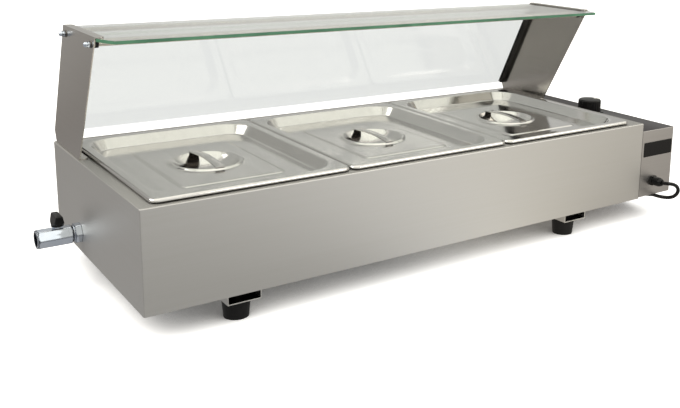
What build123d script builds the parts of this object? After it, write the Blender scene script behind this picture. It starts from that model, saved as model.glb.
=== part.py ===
from build123d import *
import math
import os

# Electric wet-heat bain marie: a folded steel body with a water well, three covered half-size pans,
# a control box with thermostat and mains lead, a drain tap and a glass guard over the pans.
# Millimetres, +Z up, the operator stands at -Y. The origin is on the table, under the middle.

# Body
BODY_LENGTH = 840.0
BODY_DEPTH = 365.0
BODY_HEIGHT = 130.0
BODY_SHEET = 1.0
BODY_FOLD = 1.5
RETURN_FLANGE = 12.0

# Stand
FOOT_DIAMETER = 37.0
FOOT_BASE_DIAMETER = 32.0
FOOT_HEIGHT = 27.0
FOOT_INSET = 27.0
FOOT_RECESS_DIAMETER = 18.0
FOOT_RECESS_DEPTH = 12.0
BOLT_DIAMETER = 6.0
BOLT_FLATS = 10.0
BOLT_HEAD_HEIGHT = 4.0
BOLT_NUT_HEIGHT = 5.0
CHANNEL_WIDTH = 45.0
CHANNEL_HEIGHT = 11.0
CHANNEL_SHEET = 1.5
CHANNEL_FROM_LEFT = 124.0
CHANNEL_FROM_RIGHT = 150.0

# Pans and their lids
PAN_COUNT = 3
LID_LENGTH = 265.0
LID_DEPTH = 325.0
LID_SPACING = 2.0
LID_FROM_LEFT = 16.5
LID_FROM_FRONT = 8.0
LID_SHEET = 0.8
LID_CORNER = 11.0
LID_HEM_WIDTH = 3.0
LID_HEM_HEIGHT = 2.6
LID_EDGE_BREAK = 0.9
LID_RIM_WIDTH = 17.0
LID_RECESS_DEPTH = 14.0
LID_RECESS_SLOPE = 45.0
LID_RECESS_CORNER = 24.0
LID_PLATEAU_LENGTH = 138.0
LID_PLATEAU_DEPTH = 157.0
LID_PLATEAU_CORNER = 9.0
LID_PLATEAU_RISE = 2.0
DISH_RADIUS = 45.0
DISH_DEPTH = 20.0
DISH_LIP_WIDTH = 3.5
DISH_LIP_RISE = 3.0
STRAP_WIDTH = 13.0
STRAP_THICKNESS = 1.6
STRAP_ARCH = 3.0
PAN_SHEET = 0.8
PAN_RIM_INSET = 2.0
PAN_RIM_WIDTH = 11.0
PAN_LIP_HEIGHT = 3.2
PAN_LIP_SLOPE = 30.0
PAN_DEPTH = 65.0
PAN_TAPER = 4.0
PAN_CORNER = 28.0
PAN_BOTTOM_ROUND = 12.0

# Water well
WELL_CLEARANCE = 2.5
WELL_CORNER = 3.0
TANK_SHEET = 1.0
TANK_DEPTH = 110.0
TANK_FLANGE = 8.0
REST_BAR_WIDTH = 24.0
REST_BAR_HEIGHT = 16.0
REST_BAR_SHEET = 1.5

# Heating element
ELEMENT_DIAMETER = 8.5
ELEMENT_SIDES = 12
ELEMENT_RISE = 23.0
ELEMENT_SPREAD = 100.0
ELEMENT_BEND = 45.0
ELEMENT_FROM_LEFT = 60.0
ELEMENT_TAIL = 14.0
ELEMENT_NUT_FLATS = 19.0
ELEMENT_NUT_HEIGHT = 8.0
ELEMENT_REST_WIDTH = 12.0
ELEMENT_REST_OVERHANG = 10.0
ELEMENT_REST_SPACING = 330.0

# Control box
CONTROL_WIDTH = 78.0
CONTROL_DROP = 13.5
CONTROL_LIFT = 2.0
CONTROL_SHEET = 1.0
WIRING_CUTOUT_DEPTH = 170.0
WIRING_CUTOUT_HEIGHT = 44.0
KNOB_FROM_BODY = 39.0
KNOB_FROM_FRONT = 163.0
KNOB_DIAMETER = 41.0
KNOB_HEIGHT = 23.0
KNOB_CROWN = 1.6
KNOB_CROWN_SAG = 0.4
KNOB_SHOULDER = 2.0
KNOB_WALL = 3.0
KNOB_HUB_DIAMETER = 14.0
KNOB_FLUTES = 24
KNOB_FLUTE_WIDTH = 3.2
KNOB_FLUTE_DEPTH = 0.8
KNOB_FLUTE_ANGLE = 60.0
DIAL_DIAMETER = 51.0
DIAL_THICKNESS = 1.2
SHAFT_DIAMETER = 6.0
SHAFT_ENGAGED = 12.0
BUSHING_DIAMETER = 10.0
THERMOSTAT_LENGTH = 46.0
THERMOSTAT_DEPTH = 38.0
THERMOSTAT_HEIGHT = 26.0
TERMINAL_FROM_FRONT = 81.5
TERMINAL_LENGTH = 30.0
TERMINAL_DEPTH = 22.0
TERMINAL_HEIGHT = 18.0
TERMINAL_POLES = 3
TERMINAL_WIRE_HOLE = 4.0

# Cable gland and mains lead
GLAND_FROM_BODY = 31.0
GLAND_HEIGHT = 66.0
GLAND_REACH = 22.0
GLAND_FLATS = 16.0
GLAND_FLANGE = 5.0
GLAND_SHANK_DIAMETER = 12.0
GLAND_SHANK_LENGTH = 9.0
GLAND_NUT_DIAMETER = 15.5
GLAND_NUT_STRAIGHT = 8.5
GLAND_NOSE_DIAMETER = 10.0
GLAND_LOCKNUT_HEIGHT = 4.0
CORD_DIAMETER = 6.2
CORD_SIDES = 6
CORD_BEND_SHARE = 0.45
COIL_OUTER_RADIUS = 44.0
COIL_PITCH = 7.0
COIL_LAYER_RISE = 6.9
COIL_CLIMB_STEEPNESS = 1.5
COIL_TURNS_IN = 2
COIL_QUARTERS_OUT = 7
COIL_SAMPLE = 2.0
PLUG_SLEEVE_LENGTH = 44.0
PLUG_SLEEVE_TIP = 7.0
PLUG_SLEEVE_ROOT = 12.0
PLUG_LENGTH = 50.0
PLUG_WIDTH = 49.0
PLUG_SHOULDER = 18.0
PLUG_NECK_WIDTH = 22.0
PLUG_THICKNESS = 21.0
PLUG_ROUND = 3.0
PLUG_EDGE_BREAK = 2.0
PIN_SPACING = 22.2
PIN_LINE_FROM_NECK = 19.0
PIN_LINE_SIZE = (4.0, 6.3, 17.7)
PIN_EARTH_SIZE = (8.0, 4.0, 22.7)

# Drain tap
DRAIN_FROM_FRONT = 250.0
DRAIN_HEIGHT = 66.0
VALVE_REACH = 57.0
FLAT_UP = 30.0
DRAIN_PIPE_DIAMETER = 21.3
DRAIN_PIPE_BORE = 15.0
DRAIN_PIPE_ENGAGED = 8.0
DRAIN_NUT_FLATS = 27.0
DRAIN_NUT_HEIGHT = 9.0
VALVE_FLATS = 25.0
VALVE_TURNED_END = 4.0
VALVE_COLLAR_DIAMETER = 25.5
VALVE_COLLAR_LENGTH = 7.0
VALVE_BORE = 11.0
VALVE_OUTLET_DIAMETER = 18.6
VALVE_OUTLET_DEPTH = 13.0
BALL_DIAMETER = 16.0
BALL_FLAT_DEPTH = 1.0
BALL_FROM_WALL = 29.0
BOSS_DIAMETER = 13.0
BOSS_RISE = 2.0
STEM_DIAMETER = 6.0
LEVER_LENGTH = 36.0
LEVER_WIDTH = 8.0
LEVER_HEIGHT = 16.0
LEVER_FOOT_LENGTH = 12.0
LEVER_DIP_LENGTH = 13.0
LEVER_TIP_LENGTH = 8.0
LEVER_TIP_HEIGHT = 9.0
LEVER_CORNER = 1.6
LEVER_EDGE = 1.2
LEVER_HUB_DIAMETER = 14.0
LEVER_HUB_HEIGHT = 9.0
LEVER_SCREW_DIAMETER = 8.0
LEVER_SCREW_HEIGHT = 2.4

# Glass guard
SUPPORT_SHEET = 1.5
SUPPORT_INSET = 2.0
SUPPORT_FLANGE = 12.0
SUPPORT_FLANGE_ROUND = 5.0
SUPPORT_HEIGHT = 176.0
SUPPORT_HEEL_HEIGHT = 17.0
# corners of the support, measured forwards from the body's back
SUPPORT_HEEL = 2.0
SUPPORT_FOOT_BACK = 9.0
SUPPORT_FOOT_FRONT = 123.0
SUPPORT_TOP_BACK = 83.0
SUPPORT_TOP_FRONT = 224.0
SHELF_THICKNESS = 4.0
SHELF_OVERHANG = 31.0
SHELF_FROM_BACK = 3.0
SHELF_CORNER_CUT = 12.0
GUARD_THICKNESS = 5.0
GUARD_BELOW_TOP = 20.0
EDGE_CHANNEL_WIDTH = 9.5
EDGE_CHANNEL_WALL = 1.6
ROD_DIAMETER = 6.0
ROD_STUD_DIAMETER = 4.0
ROD_FROM_TOP_FRONT = 18.0
ROD_FROM_TOP_BACK = 11.0
ROD_SPACER_LENGTH = 3.0
ROD_SPACER_DIAMETER = 8.0
ROD_RING_LENGTH = 4.0
ROD_RING_DIAMETER = 9.5
WASHER_DIAMETER = 9.0
WASHER_THICKNESS = 1.0
DOME_NUT_FLATS = 7.0
DOME_NUT_HEX = 3.2
DOME_NUT_LENGTH = 8.0

# Clearances: a seat between lifted pieces, a shaft in its hole, a fixed piece in its hole or slot
SEAT = 0.2
RUNNING = 0.05
FIT = 0.1
BALL_CLEARANCE = 0.3

# Overall frame
X_LEFT = -(BODY_LENGTH + CONTROL_WIDTH - VALVE_REACH) / 2
X_RIGHT = X_LEFT + BODY_LENGTH
X_MIDDLE = (X_LEFT + X_RIGHT) / 2
Y_FRONT = -(BODY_DEPTH - GLAND_REACH) / 2
Y_BACK = Y_FRONT + BODY_DEPTH
Y_MIDDLE = (Y_FRONT + Y_BACK) / 2
Z_BOTTOM = FOOT_HEIGHT + CHANNEL_HEIGHT
Z_TOP = Z_BOTTOM + BODY_HEIGHT

# Pan and lid stack, from the body's top upwards
PAN_RIM_TOP = Z_TOP + SEAT + PAN_LIP_HEIGHT
LID_SEAT = PAN_RIM_TOP + SEAT
LID_TOP = LID_SEAT + LID_HEM_HEIGHT
LID_FLOOR = LID_TOP - LID_RECESS_DEPTH
DISH_LIP_TOP = LID_FLOOR + LID_PLATEAU_RISE + DISH_LIP_RISE
DISH_SPHERE = (DISH_RADIUS**2 + DISH_DEPTH**2) / (2 * DISH_DEPTH)
DISH_CENTRE = DISH_LIP_TOP - DISH_DEPTH + DISH_SPHERE
PAN_PITCH = LID_LENGTH + LID_SPACING
PAN_X = [X_LEFT + LID_FROM_LEFT + LID_LENGTH / 2 + PAN_PITCH * i for i in range(PAN_COUNT)]
PAN_Y = Y_FRONT + LID_FROM_FRONT + LID_DEPTH / 2
PAN_MOUTH_LENGTH = LID_LENGTH - 2 * (PAN_RIM_INSET + PAN_RIM_WIDTH)
PAN_MOUTH_DEPTH = LID_DEPTH - 2 * (PAN_RIM_INSET + PAN_RIM_WIDTH)

# Water well, cut to the outside of the row of pans
WELL_X = (PAN_X[0] + PAN_X[-1]) / 2
WELL_LENGTH = PAN_X[-1] - PAN_X[0] + PAN_MOUTH_LENGTH + 2 * (PAN_SHEET + WELL_CLEARANCE)
WELL_DEPTH = PAN_MOUTH_DEPTH + 2 * (PAN_SHEET + WELL_CLEARANCE)
WELL_LEFT = WELL_X - WELL_LENGTH / 2
WELL_RIGHT = WELL_X + WELL_LENGTH / 2
TANK_TOP = Z_TOP - BODY_SHEET
TANK_FLOOR = TANK_TOP - TANK_DEPTH
ELEMENT_Z = TANK_FLOOR + ELEMENT_RISE

# Control box, guard and tap places
CONTROL_RIGHT = X_RIGHT + CONTROL_WIDTH
CONTROL_TOP = Z_TOP - CONTROL_DROP
CONTROL_BOTTOM = Z_BOTTOM + CONTROL_LIFT
KNOB_X = X_RIGHT + KNOB_FROM_BODY
KNOB_Y = Y_FRONT + KNOB_FROM_FRONT
GLAND_X = X_RIGHT + GLAND_FROM_BODY
DRAIN_Y = Y_FRONT + DRAIN_FROM_FRONT
SUPPORT_TOP = Z_TOP + SUPPORT_HEIGHT
SHELF_TOP = SUPPORT_TOP - SUPPORT_SHEET - SEAT
ROD_Z = SHELF_TOP - SHELF_THICKNESS - SEAT - ROD_RING_DIAMETER / 2
ROD_Y = [Y_BACK - SUPPORT_TOP_FRONT + ROD_FROM_TOP_FRONT, Y_BACK - SUPPORT_TOP_BACK - ROD_FROM_TOP_BACK]
SUPPORT_X = {-1: X_LEFT + SUPPORT_INSET, 1: X_RIGHT - SUPPORT_INSET}
HEEL_RUN = SUPPORT_TOP_BACK - SUPPORT_HEEL
HEEL_RISE = SUPPORT_HEIGHT - SUPPORT_HEEL_HEIGHT
GUARD_LENGTH = math.hypot(HEEL_RUN, HEEL_RISE)
GUARD_PLANE = Plane(
    origin=(X_MIDDLE, Y_BACK - SUPPORT_HEEL, Z_TOP + SUPPORT_HEEL_HEIGHT),
    x_dir=(1, 0, 0),
    z_dir=(0, -HEEL_RISE / GUARD_LENGTH, -HEEL_RUN / GUARD_LENGTH),
)

os.makedirs("parts", exist_ok=True)


def save(builder, name):
    """Labels a finished piece and writes it."""
    builder.part.label = name
    export_step(builder.part, f"parts/{name}.step")


def axis_plane(x, y, z, direction):
    """A plane at a point whose normal runs along a direction, with +Z or +Y as its own up."""
    up = (0, 1, 0) if abs(direction[2]) > 0.5 else (0, 0, 1)
    return Plane(origin=(x, y, z), x_dir=Vector(*up).cross(Vector(*direction)), z_dir=direction)


# Body shell: one folded sheet with a return flange below, the well opening above and side holes
with BuildPart() as body_shell:
    with BuildSketch(Plane((X_MIDDLE, Y_MIDDLE, Z_BOTTOM))):
        Rectangle(BODY_LENGTH, BODY_DEPTH)
    extrude(amount=BODY_HEIGHT)
    fillet(body_shell.edges().filter_by(Axis.Z) + body_shell.faces().sort_by(Axis.Z)[-1].edges(), BODY_FOLD)
    with BuildSketch(Plane((X_MIDDLE, Y_MIDDLE, Z_BOTTOM + BODY_SHEET))):
        Rectangle(BODY_LENGTH - 2 * BODY_SHEET, BODY_DEPTH - 2 * BODY_SHEET)
    extrude(amount=BODY_HEIGHT - 2 * BODY_SHEET, mode=Mode.SUBTRACT)
    with BuildSketch(Plane((X_MIDDLE, Y_MIDDLE, Z_BOTTOM))):
        Rectangle(BODY_LENGTH - 2 * RETURN_FLANGE, BODY_DEPTH - 2 * RETURN_FLANGE)
    extrude(amount=BODY_SHEET, mode=Mode.SUBTRACT)
    with BuildSketch(Plane((WELL_X, PAN_Y, TANK_TOP))):
        RectangleRounded(WELL_LENGTH, WELL_DEPTH, WELL_CORNER)
    extrude(amount=BODY_SHEET, mode=Mode.SUBTRACT)
    with BuildSketch(axis_plane(X_LEFT, DRAIN_Y, DRAIN_HEIGHT, (1, 0, 0))):
        Circle(DRAIN_PIPE_DIAMETER / 2 + FIT)
    extrude(amount=BODY_SHEET, mode=Mode.SUBTRACT)
    with BuildSketch(axis_plane(X_RIGHT, PAN_Y, ELEMENT_Z, (-1, 0, 0))):
        Rectangle(WIRING_CUTOUT_DEPTH, WIRING_CUTOUT_HEIGHT)
    extrude(amount=BODY_SHEET, mode=Mode.SUBTRACT)
save(body_shell, "body_shell")

# Base plate, lying on the return flange
with BuildPart() as base_plate:
    with BuildSketch(Plane((X_MIDDLE, Y_MIDDLE, Z_BOTTOM + BODY_SHEET))):
        Rectangle(BODY_LENGTH - 2 * (BODY_SHEET + FIT), BODY_DEPTH - 2 * (BODY_SHEET + FIT))
    extrude(amount=BODY_SHEET)
save(base_plate, "base_plate")

# Water tank with a flange under the body's top, holed for the drain and the element
with BuildPart() as water_tank:
    with BuildSketch(Plane((WELL_X, PAN_Y, TANK_FLOOR - TANK_SHEET))):
        RectangleRounded(WELL_LENGTH + 2 * TANK_SHEET, WELL_DEPTH + 2 * TANK_SHEET, WELL_CORNER + TANK_SHEET)
    extrude(amount=TANK_DEPTH + TANK_SHEET)
    with BuildSketch(Plane((WELL_X, PAN_Y, TANK_TOP))):
        RectangleRounded(
            WELL_LENGTH + 2 * TANK_FLANGE, WELL_DEPTH + 2 * TANK_FLANGE, WELL_CORNER + TANK_FLANGE
        )
    extrude(amount=-TANK_SHEET)
    with BuildSketch(Plane((WELL_X, PAN_Y, TANK_FLOOR))):
        RectangleRounded(WELL_LENGTH, WELL_DEPTH, WELL_CORNER)
    extrude(amount=TANK_DEPTH, mode=Mode.SUBTRACT)
    with BuildSketch(axis_plane(WELL_LEFT, DRAIN_Y, DRAIN_HEIGHT, (-1, 0, 0))):
        Circle(DRAIN_PIPE_DIAMETER / 2 + FIT)
    extrude(amount=TANK_SHEET, mode=Mode.SUBTRACT)
    with BuildSketch(axis_plane(WELL_RIGHT, PAN_Y, ELEMENT_Z, (1, 0, 0))):
        with GridLocations(ELEMENT_SPREAD, 0, 2, 1):
            Circle(ELEMENT_DIAMETER / 2 + FIT)
    extrude(amount=TANK_SHEET, mode=Mode.SUBTRACT)
save(water_tank, "water_tank")

# Rest bars: inverted channels between the pans, level with the body's top
for number, (left_pan, right_pan) in enumerate(zip(PAN_X, PAN_X[1:]), start=1):
    with BuildPart() as rest_bar:
        with BuildSketch(axis_plane((left_pan + right_pan) / 2, PAN_Y - WELL_DEPTH / 2, Z_TOP, (0, 1, 0))):
            Rectangle(REST_BAR_WIDTH, REST_BAR_HEIGHT, align=(Align.CENTER, Align.MAX))
            with Locations((0, -REST_BAR_SHEET)):
                Rectangle(
                    REST_BAR_WIDTH - 2 * REST_BAR_SHEET,
                    REST_BAR_HEIGHT - REST_BAR_SHEET,
                    align=(Align.CENTER, Align.MAX),
                    mode=Mode.SUBTRACT,
                )
        extrude(amount=WELL_DEPTH)
    save(rest_bar, f"pan_rest_bar_{number}")

# Heating element: one tube bent into a long hairpin, its cold ends passing into the control box
ELEMENT_LEFT = WELL_LEFT + ELEMENT_FROM_LEFT
ELEMENT_END = X_RIGHT + ELEMENT_TAIL
ELEMENT_LEGS = (PAN_Y - ELEMENT_SPREAD / 2, PAN_Y + ELEMENT_SPREAD / 2)
with BuildPart() as heating_element:
    with BuildLine() as element_path:
        FilletPolyline(
            (ELEMENT_END, ELEMENT_LEGS[0], ELEMENT_Z),
            (ELEMENT_LEFT, ELEMENT_LEGS[0], ELEMENT_Z),
            (ELEMENT_LEFT, ELEMENT_LEGS[1], ELEMENT_Z),
            (ELEMENT_END, ELEMENT_LEGS[1], ELEMENT_Z),
            radius=ELEMENT_BEND,
        )
    with BuildSketch(axis_plane(ELEMENT_END, ELEMENT_LEGS[0], ELEMENT_Z, (-1, 0, 0))):
        RegularPolygon(ELEMENT_DIAMETER / 2, ELEMENT_SIDES)
    sweep(path=element_path.wires()[0])
save(heating_element, "heating_element")

# Element nuts against the tank's outer face
with BuildPart() as element_nuts:
    with BuildSketch(axis_plane(WELL_RIGHT + TANK_SHEET, PAN_Y, ELEMENT_Z, (1, 0, 0))):
        with GridLocations(ELEMENT_SPREAD, 0, 2, 1):
            RegularPolygon(ELEMENT_NUT_FLATS / 2, 6, major_radius=False)
            Circle(ELEMENT_DIAMETER / 2 + FIT, mode=Mode.SUBTRACT)
    extrude(amount=ELEMENT_NUT_HEIGHT)
save(element_nuts, "element_nuts")

# Element rests: two strips folded up from the tank's floor
with BuildPart() as element_rests:
    with BuildSketch(Plane((WELL_X, PAN_Y, TANK_FLOOR))):
        with GridLocations(ELEMENT_REST_SPACING, 0, 2, 1):
            Rectangle(ELEMENT_REST_WIDTH, ELEMENT_SPREAD + 2 * ELEMENT_REST_OVERHANG)
    extrude(amount=ELEMENT_RISE - ELEMENT_DIAMETER / 2 - FIT)
    with BuildSketch(Plane((WELL_X, PAN_Y, TANK_FLOOR))):
        with GridLocations(ELEMENT_REST_SPACING, 0, 2, 1):
            Rectangle(ELEMENT_REST_WIDTH - 2 * TANK_SHEET, ELEMENT_SPREAD + 2 * ELEMENT_REST_OVERHANG)
    extrude(amount=ELEMENT_RISE - ELEMENT_DIAMETER / 2 - FIT - TANK_SHEET, mode=Mode.SUBTRACT)
save(element_rests, "element_rests")

# Foot channels, open at both ends, and what stands below them
CHANNEL_X = {"left": X_LEFT + CHANNEL_FROM_LEFT, "right": X_RIGHT - CHANNEL_FROM_RIGHT}
FOOT_Y = {"front": Y_FRONT + FOOT_INSET, "back": Y_BACK - FOOT_INSET}
for side, channel_x in CHANNEL_X.items():
    with BuildPart() as foot_channel:
        with BuildSketch(axis_plane(channel_x, Y_FRONT, FOOT_HEIGHT, (0, 1, 0))):
            Rectangle(CHANNEL_WIDTH, CHANNEL_HEIGHT, align=(Align.CENTER, Align.MIN))
            with Locations((0, CHANNEL_SHEET)):
                Rectangle(
                    CHANNEL_WIDTH - 2 * CHANNEL_SHEET,
                    CHANNEL_HEIGHT - CHANNEL_SHEET,
                    align=(Align.CENTER, Align.MIN),
                    mode=Mode.SUBTRACT,
                )
        extrude(amount=BODY_DEPTH)
        with BuildSketch(Plane((channel_x, Y_MIDDLE, FOOT_HEIGHT))):
            with GridLocations(0, FOOT_Y["back"] - FOOT_Y["front"], 1, 2):
                Circle(BOLT_DIAMETER / 2 + FIT)
        extrude(amount=CHANNEL_SHEET, mode=Mode.SUBTRACT)
    save(foot_channel, f"foot_channel_{side}")

for side, foot_x in CHANNEL_X.items():
    for end, foot_y in FOOT_Y.items():
        with BuildPart() as foot:
            with BuildSketch(Plane((foot_x, foot_y, 0))):
                Circle(FOOT_BASE_DIAMETER / 2)
            with BuildSketch(Plane((foot_x, foot_y, FOOT_HEIGHT))):
                Circle(FOOT_DIAMETER / 2)
            loft()
            with Locations((foot_x, foot_y, 0)):
                CounterBoreHole(
                    BOLT_DIAMETER / 2 + FIT, FOOT_RECESS_DIAMETER / 2, FOOT_RECESS_DEPTH, depth=FOOT_HEIGHT
                )
        save(foot, f"foot_{end}_{side}")

FOOT_PLACES = [(x, y) for x in CHANNEL_X.values() for y in FOOT_Y.values()]
BOLT_HEAD_Z = FOOT_RECESS_DEPTH - BOLT_HEAD_HEIGHT
BOLT_NUT_Z = FOOT_HEIGHT + CHANNEL_SHEET
with BuildPart() as foot_bolts:
    with BuildSketch(Plane.XY.offset(BOLT_HEAD_Z)):
        with Locations(*FOOT_PLACES):
            RegularPolygon(BOLT_FLATS / 2, 6, major_radius=False)
    extrude(amount=BOLT_HEAD_HEIGHT)
    with BuildSketch(Plane.XY.offset(FOOT_RECESS_DEPTH)):
        with Locations(*FOOT_PLACES):
            Circle(BOLT_DIAMETER / 2)
    extrude(amount=BOLT_NUT_Z + BOLT_NUT_HEIGHT - FOOT_RECESS_DEPTH)
save(foot_bolts, "foot_bolts")

with BuildPart() as foot_nuts:
    with BuildSketch(Plane.XY.offset(BOLT_NUT_Z)):
        with Locations(*FOOT_PLACES):
            RegularPolygon(BOLT_FLATS / 2, 6, major_radius=False)
            Circle(BOLT_DIAMETER / 2 + FIT, mode=Mode.SUBTRACT)
    extrude(amount=BOLT_NUT_HEIGHT)
save(foot_nuts, "foot_nuts")


def drawn_form(centre_x, wall):
    """The pan's drawn shape as a solid: its hollow, or with a wall its outside."""
    with BuildPart() as form:
        with BuildSketch(Plane((centre_x, PAN_Y, PAN_RIM_TOP))):
            RectangleRounded(PAN_MOUTH_LENGTH + 2 * wall, PAN_MOUTH_DEPTH + 2 * wall, PAN_CORNER + wall)
        extrude(amount=PAN_SHEET - PAN_DEPTH - wall, taper=PAN_TAPER)
        fillet(form.faces().sort_by(Axis.Z)[0].edges(), PAN_BOTTOM_ROUND + wall)
    return form.part


def make_pan(centre_x):
    """A drawn pan: tapered walls, rounded floor and a flat rim whose lip is turned down and in."""
    rim_length = PAN_MOUTH_LENGTH + 2 * PAN_RIM_WIDTH
    rim_depth = PAN_MOUTH_DEPTH + 2 * PAN_RIM_WIDTH
    rim_corner = LID_CORNER - PAN_RIM_INSET
    lip_wall = PAN_SHEET / math.cos(math.radians(PAN_LIP_SLOPE))
    rim_plane = Plane((centre_x, PAN_Y, PAN_RIM_TOP))
    outside = drawn_form(centre_x, PAN_SHEET)
    hollow = drawn_form(centre_x, 0)
    with BuildPart() as pan:
        with BuildSketch(rim_plane):
            RectangleRounded(rim_length, rim_depth, rim_corner)
        extrude(amount=-PAN_LIP_HEIGHT, taper=PAN_LIP_SLOPE)
        with BuildSketch(rim_plane):
            RectangleRounded(rim_length - 2 * lip_wall, rim_depth - 2 * lip_wall, rim_corner - lip_wall)
        extrude(amount=-PAN_LIP_HEIGHT, taper=PAN_LIP_SLOPE, mode=Mode.SUBTRACT)
        with BuildSketch(rim_plane):
            RectangleRounded(rim_length - lip_wall, rim_depth - lip_wall, rim_corner - lip_wall / 2)
        extrude(amount=-PAN_SHEET)
        add(outside)
        add(hollow, mode=Mode.SUBTRACT)
    return pan


def bowl_cap(centre_x, radius, level):
    """The part of the finger dish's sphere, of a given radius, that lies below a level."""
    rim_angle = math.acos((DISH_CENTRE - level) / radius)
    with BuildPart() as cap:
        with BuildSketch(Plane((centre_x, PAN_Y, DISH_CENTRE), x_dir=(1, 0, 0), z_dir=(0, -1, 0))):
            with BuildLine():
                bowl = CenterArc((0, 0), radius, -90, math.degrees(rim_angle))
                Polyline(bowl @ 1, (0, level - DISH_CENTRE), bowl @ 0)
            make_face()
        revolve(axis=Axis((centre_x, PAN_Y, 0), (0, 0, 1)))
    return cap.part


def make_lid(centre_x):
    """A pressed lid: hemmed edge, sloping recess, raised panel and a lipped finger dish."""
    top_plane = Plane((centre_x, PAN_Y, LID_TOP))
    slope_offset = LID_SHEET * math.tan(math.radians(LID_RECESS_SLOPE / 2))
    recess_length = LID_LENGTH - 2 * LID_RIM_WIDTH
    recess_depth = LID_DEPTH - 2 * LID_RIM_WIDTH
    bowl_outside = bowl_cap(centre_x, DISH_SPHERE + LID_SHEET, LID_FLOOR)
    bowl_hollow = bowl_cap(centre_x, DISH_SPHERE, DISH_LIP_TOP)
    with BuildPart() as lid:
        with BuildSketch(top_plane):
            RectangleRounded(LID_LENGTH, LID_DEPTH, LID_CORNER)
        extrude(amount=-LID_HEM_HEIGHT)
        chamfer(lid.faces().sort_by(Axis.Z)[-1].edges(), LID_EDGE_BREAK)
        with BuildSketch(top_plane.offset(-LID_SHEET)):
            RectangleRounded(
                LID_LENGTH - 2 * LID_HEM_WIDTH, LID_DEPTH - 2 * LID_HEM_WIDTH, LID_CORNER - LID_HEM_WIDTH
            )
        extrude(amount=-LID_HEM_HEIGHT, mode=Mode.SUBTRACT)
        with BuildSketch(top_plane.offset(-LID_SHEET)):
            RectangleRounded(
                recess_length + 2 * slope_offset,
                recess_depth + 2 * slope_offset,
                LID_RECESS_CORNER + slope_offset,
            )
        extrude(amount=-LID_RECESS_DEPTH, taper=LID_RECESS_SLOPE)
        with BuildSketch(top_plane):
            RectangleRounded(recess_length, recess_depth, LID_RECESS_CORNER)
        extrude(amount=-LID_RECESS_DEPTH, taper=LID_RECESS_SLOPE, mode=Mode.SUBTRACT)
        with BuildSketch(Plane((centre_x, PAN_Y, LID_FLOOR))):
            RectangleRounded(LID_PLATEAU_LENGTH, LID_PLATEAU_DEPTH, LID_PLATEAU_CORNER)
        extrude(amount=LID_PLATEAU_RISE)
        with BuildSketch(Plane((centre_x, PAN_Y, LID_FLOOR - LID_SHEET))):
            RectangleRounded(
                LID_PLATEAU_LENGTH - 2 * LID_SHEET,
                LID_PLATEAU_DEPTH - 2 * LID_SHEET,
                LID_PLATEAU_CORNER - LID_SHEET,
            )
            Circle(DISH_RADIUS + DISH_LIP_WIDTH, mode=Mode.SUBTRACT)
        extrude(amount=LID_PLATEAU_RISE, mode=Mode.SUBTRACT)
        with BuildSketch(Plane((centre_x, PAN_Y, DISH_LIP_TOP))):
            Circle(DISH_RADIUS + DISH_LIP_WIDTH)
        extrude(amount=-DISH_LIP_RISE)
        lip_top = lid.faces().filter_by_position(Axis.Z, DISH_LIP_TOP - FIT, DISH_LIP_TOP + FIT)
        chamfer(lip_top.edges(), LID_EDGE_BREAK)
        add(bowl_outside)
        add(bowl_hollow, mode=Mode.SUBTRACT)
    return lid


def make_strap(centre_x):
    """The lid's handle: an arched strap across the dish, its feet flat on the lip."""
    foot_outer = DISH_RADIUS + DISH_LIP_WIDTH - LID_EDGE_BREAK
    foot_inner = DISH_RADIUS - LID_EDGE_BREAK
    side_face = (centre_x - STRAP_WIDTH / 2, PAN_Y, DISH_LIP_TOP)
    with BuildPart() as strap:
        with BuildSketch(Plane(side_face, x_dir=(0, 1, 0), z_dir=(1, 0, 0))):
            with BuildLine():
                below = ThreePointArc((-foot_inner, 0), (0, STRAP_ARCH), (foot_inner, 0))
                above = ThreePointArc(
                    (foot_inner, STRAP_THICKNESS),
                    (0, STRAP_ARCH + STRAP_THICKNESS),
                    (-foot_inner, STRAP_THICKNESS),
                )
                Polyline(below @ 1, (foot_outer, 0), (foot_outer, STRAP_THICKNESS), above @ 0)
                Polyline(above @ 1, (-foot_outer, STRAP_THICKNESS), (-foot_outer, 0), below @ 0)
            make_face()
        extrude(amount=STRAP_WIDTH)
    return strap


for number, pan_x in enumerate(PAN_X, start=1):
    save(make_pan(pan_x), f"pan_{number}")
    save(make_lid(pan_x), f"lid_{number}")
    save(make_strap(pan_x), f"lid_handle_{number}")

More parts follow.
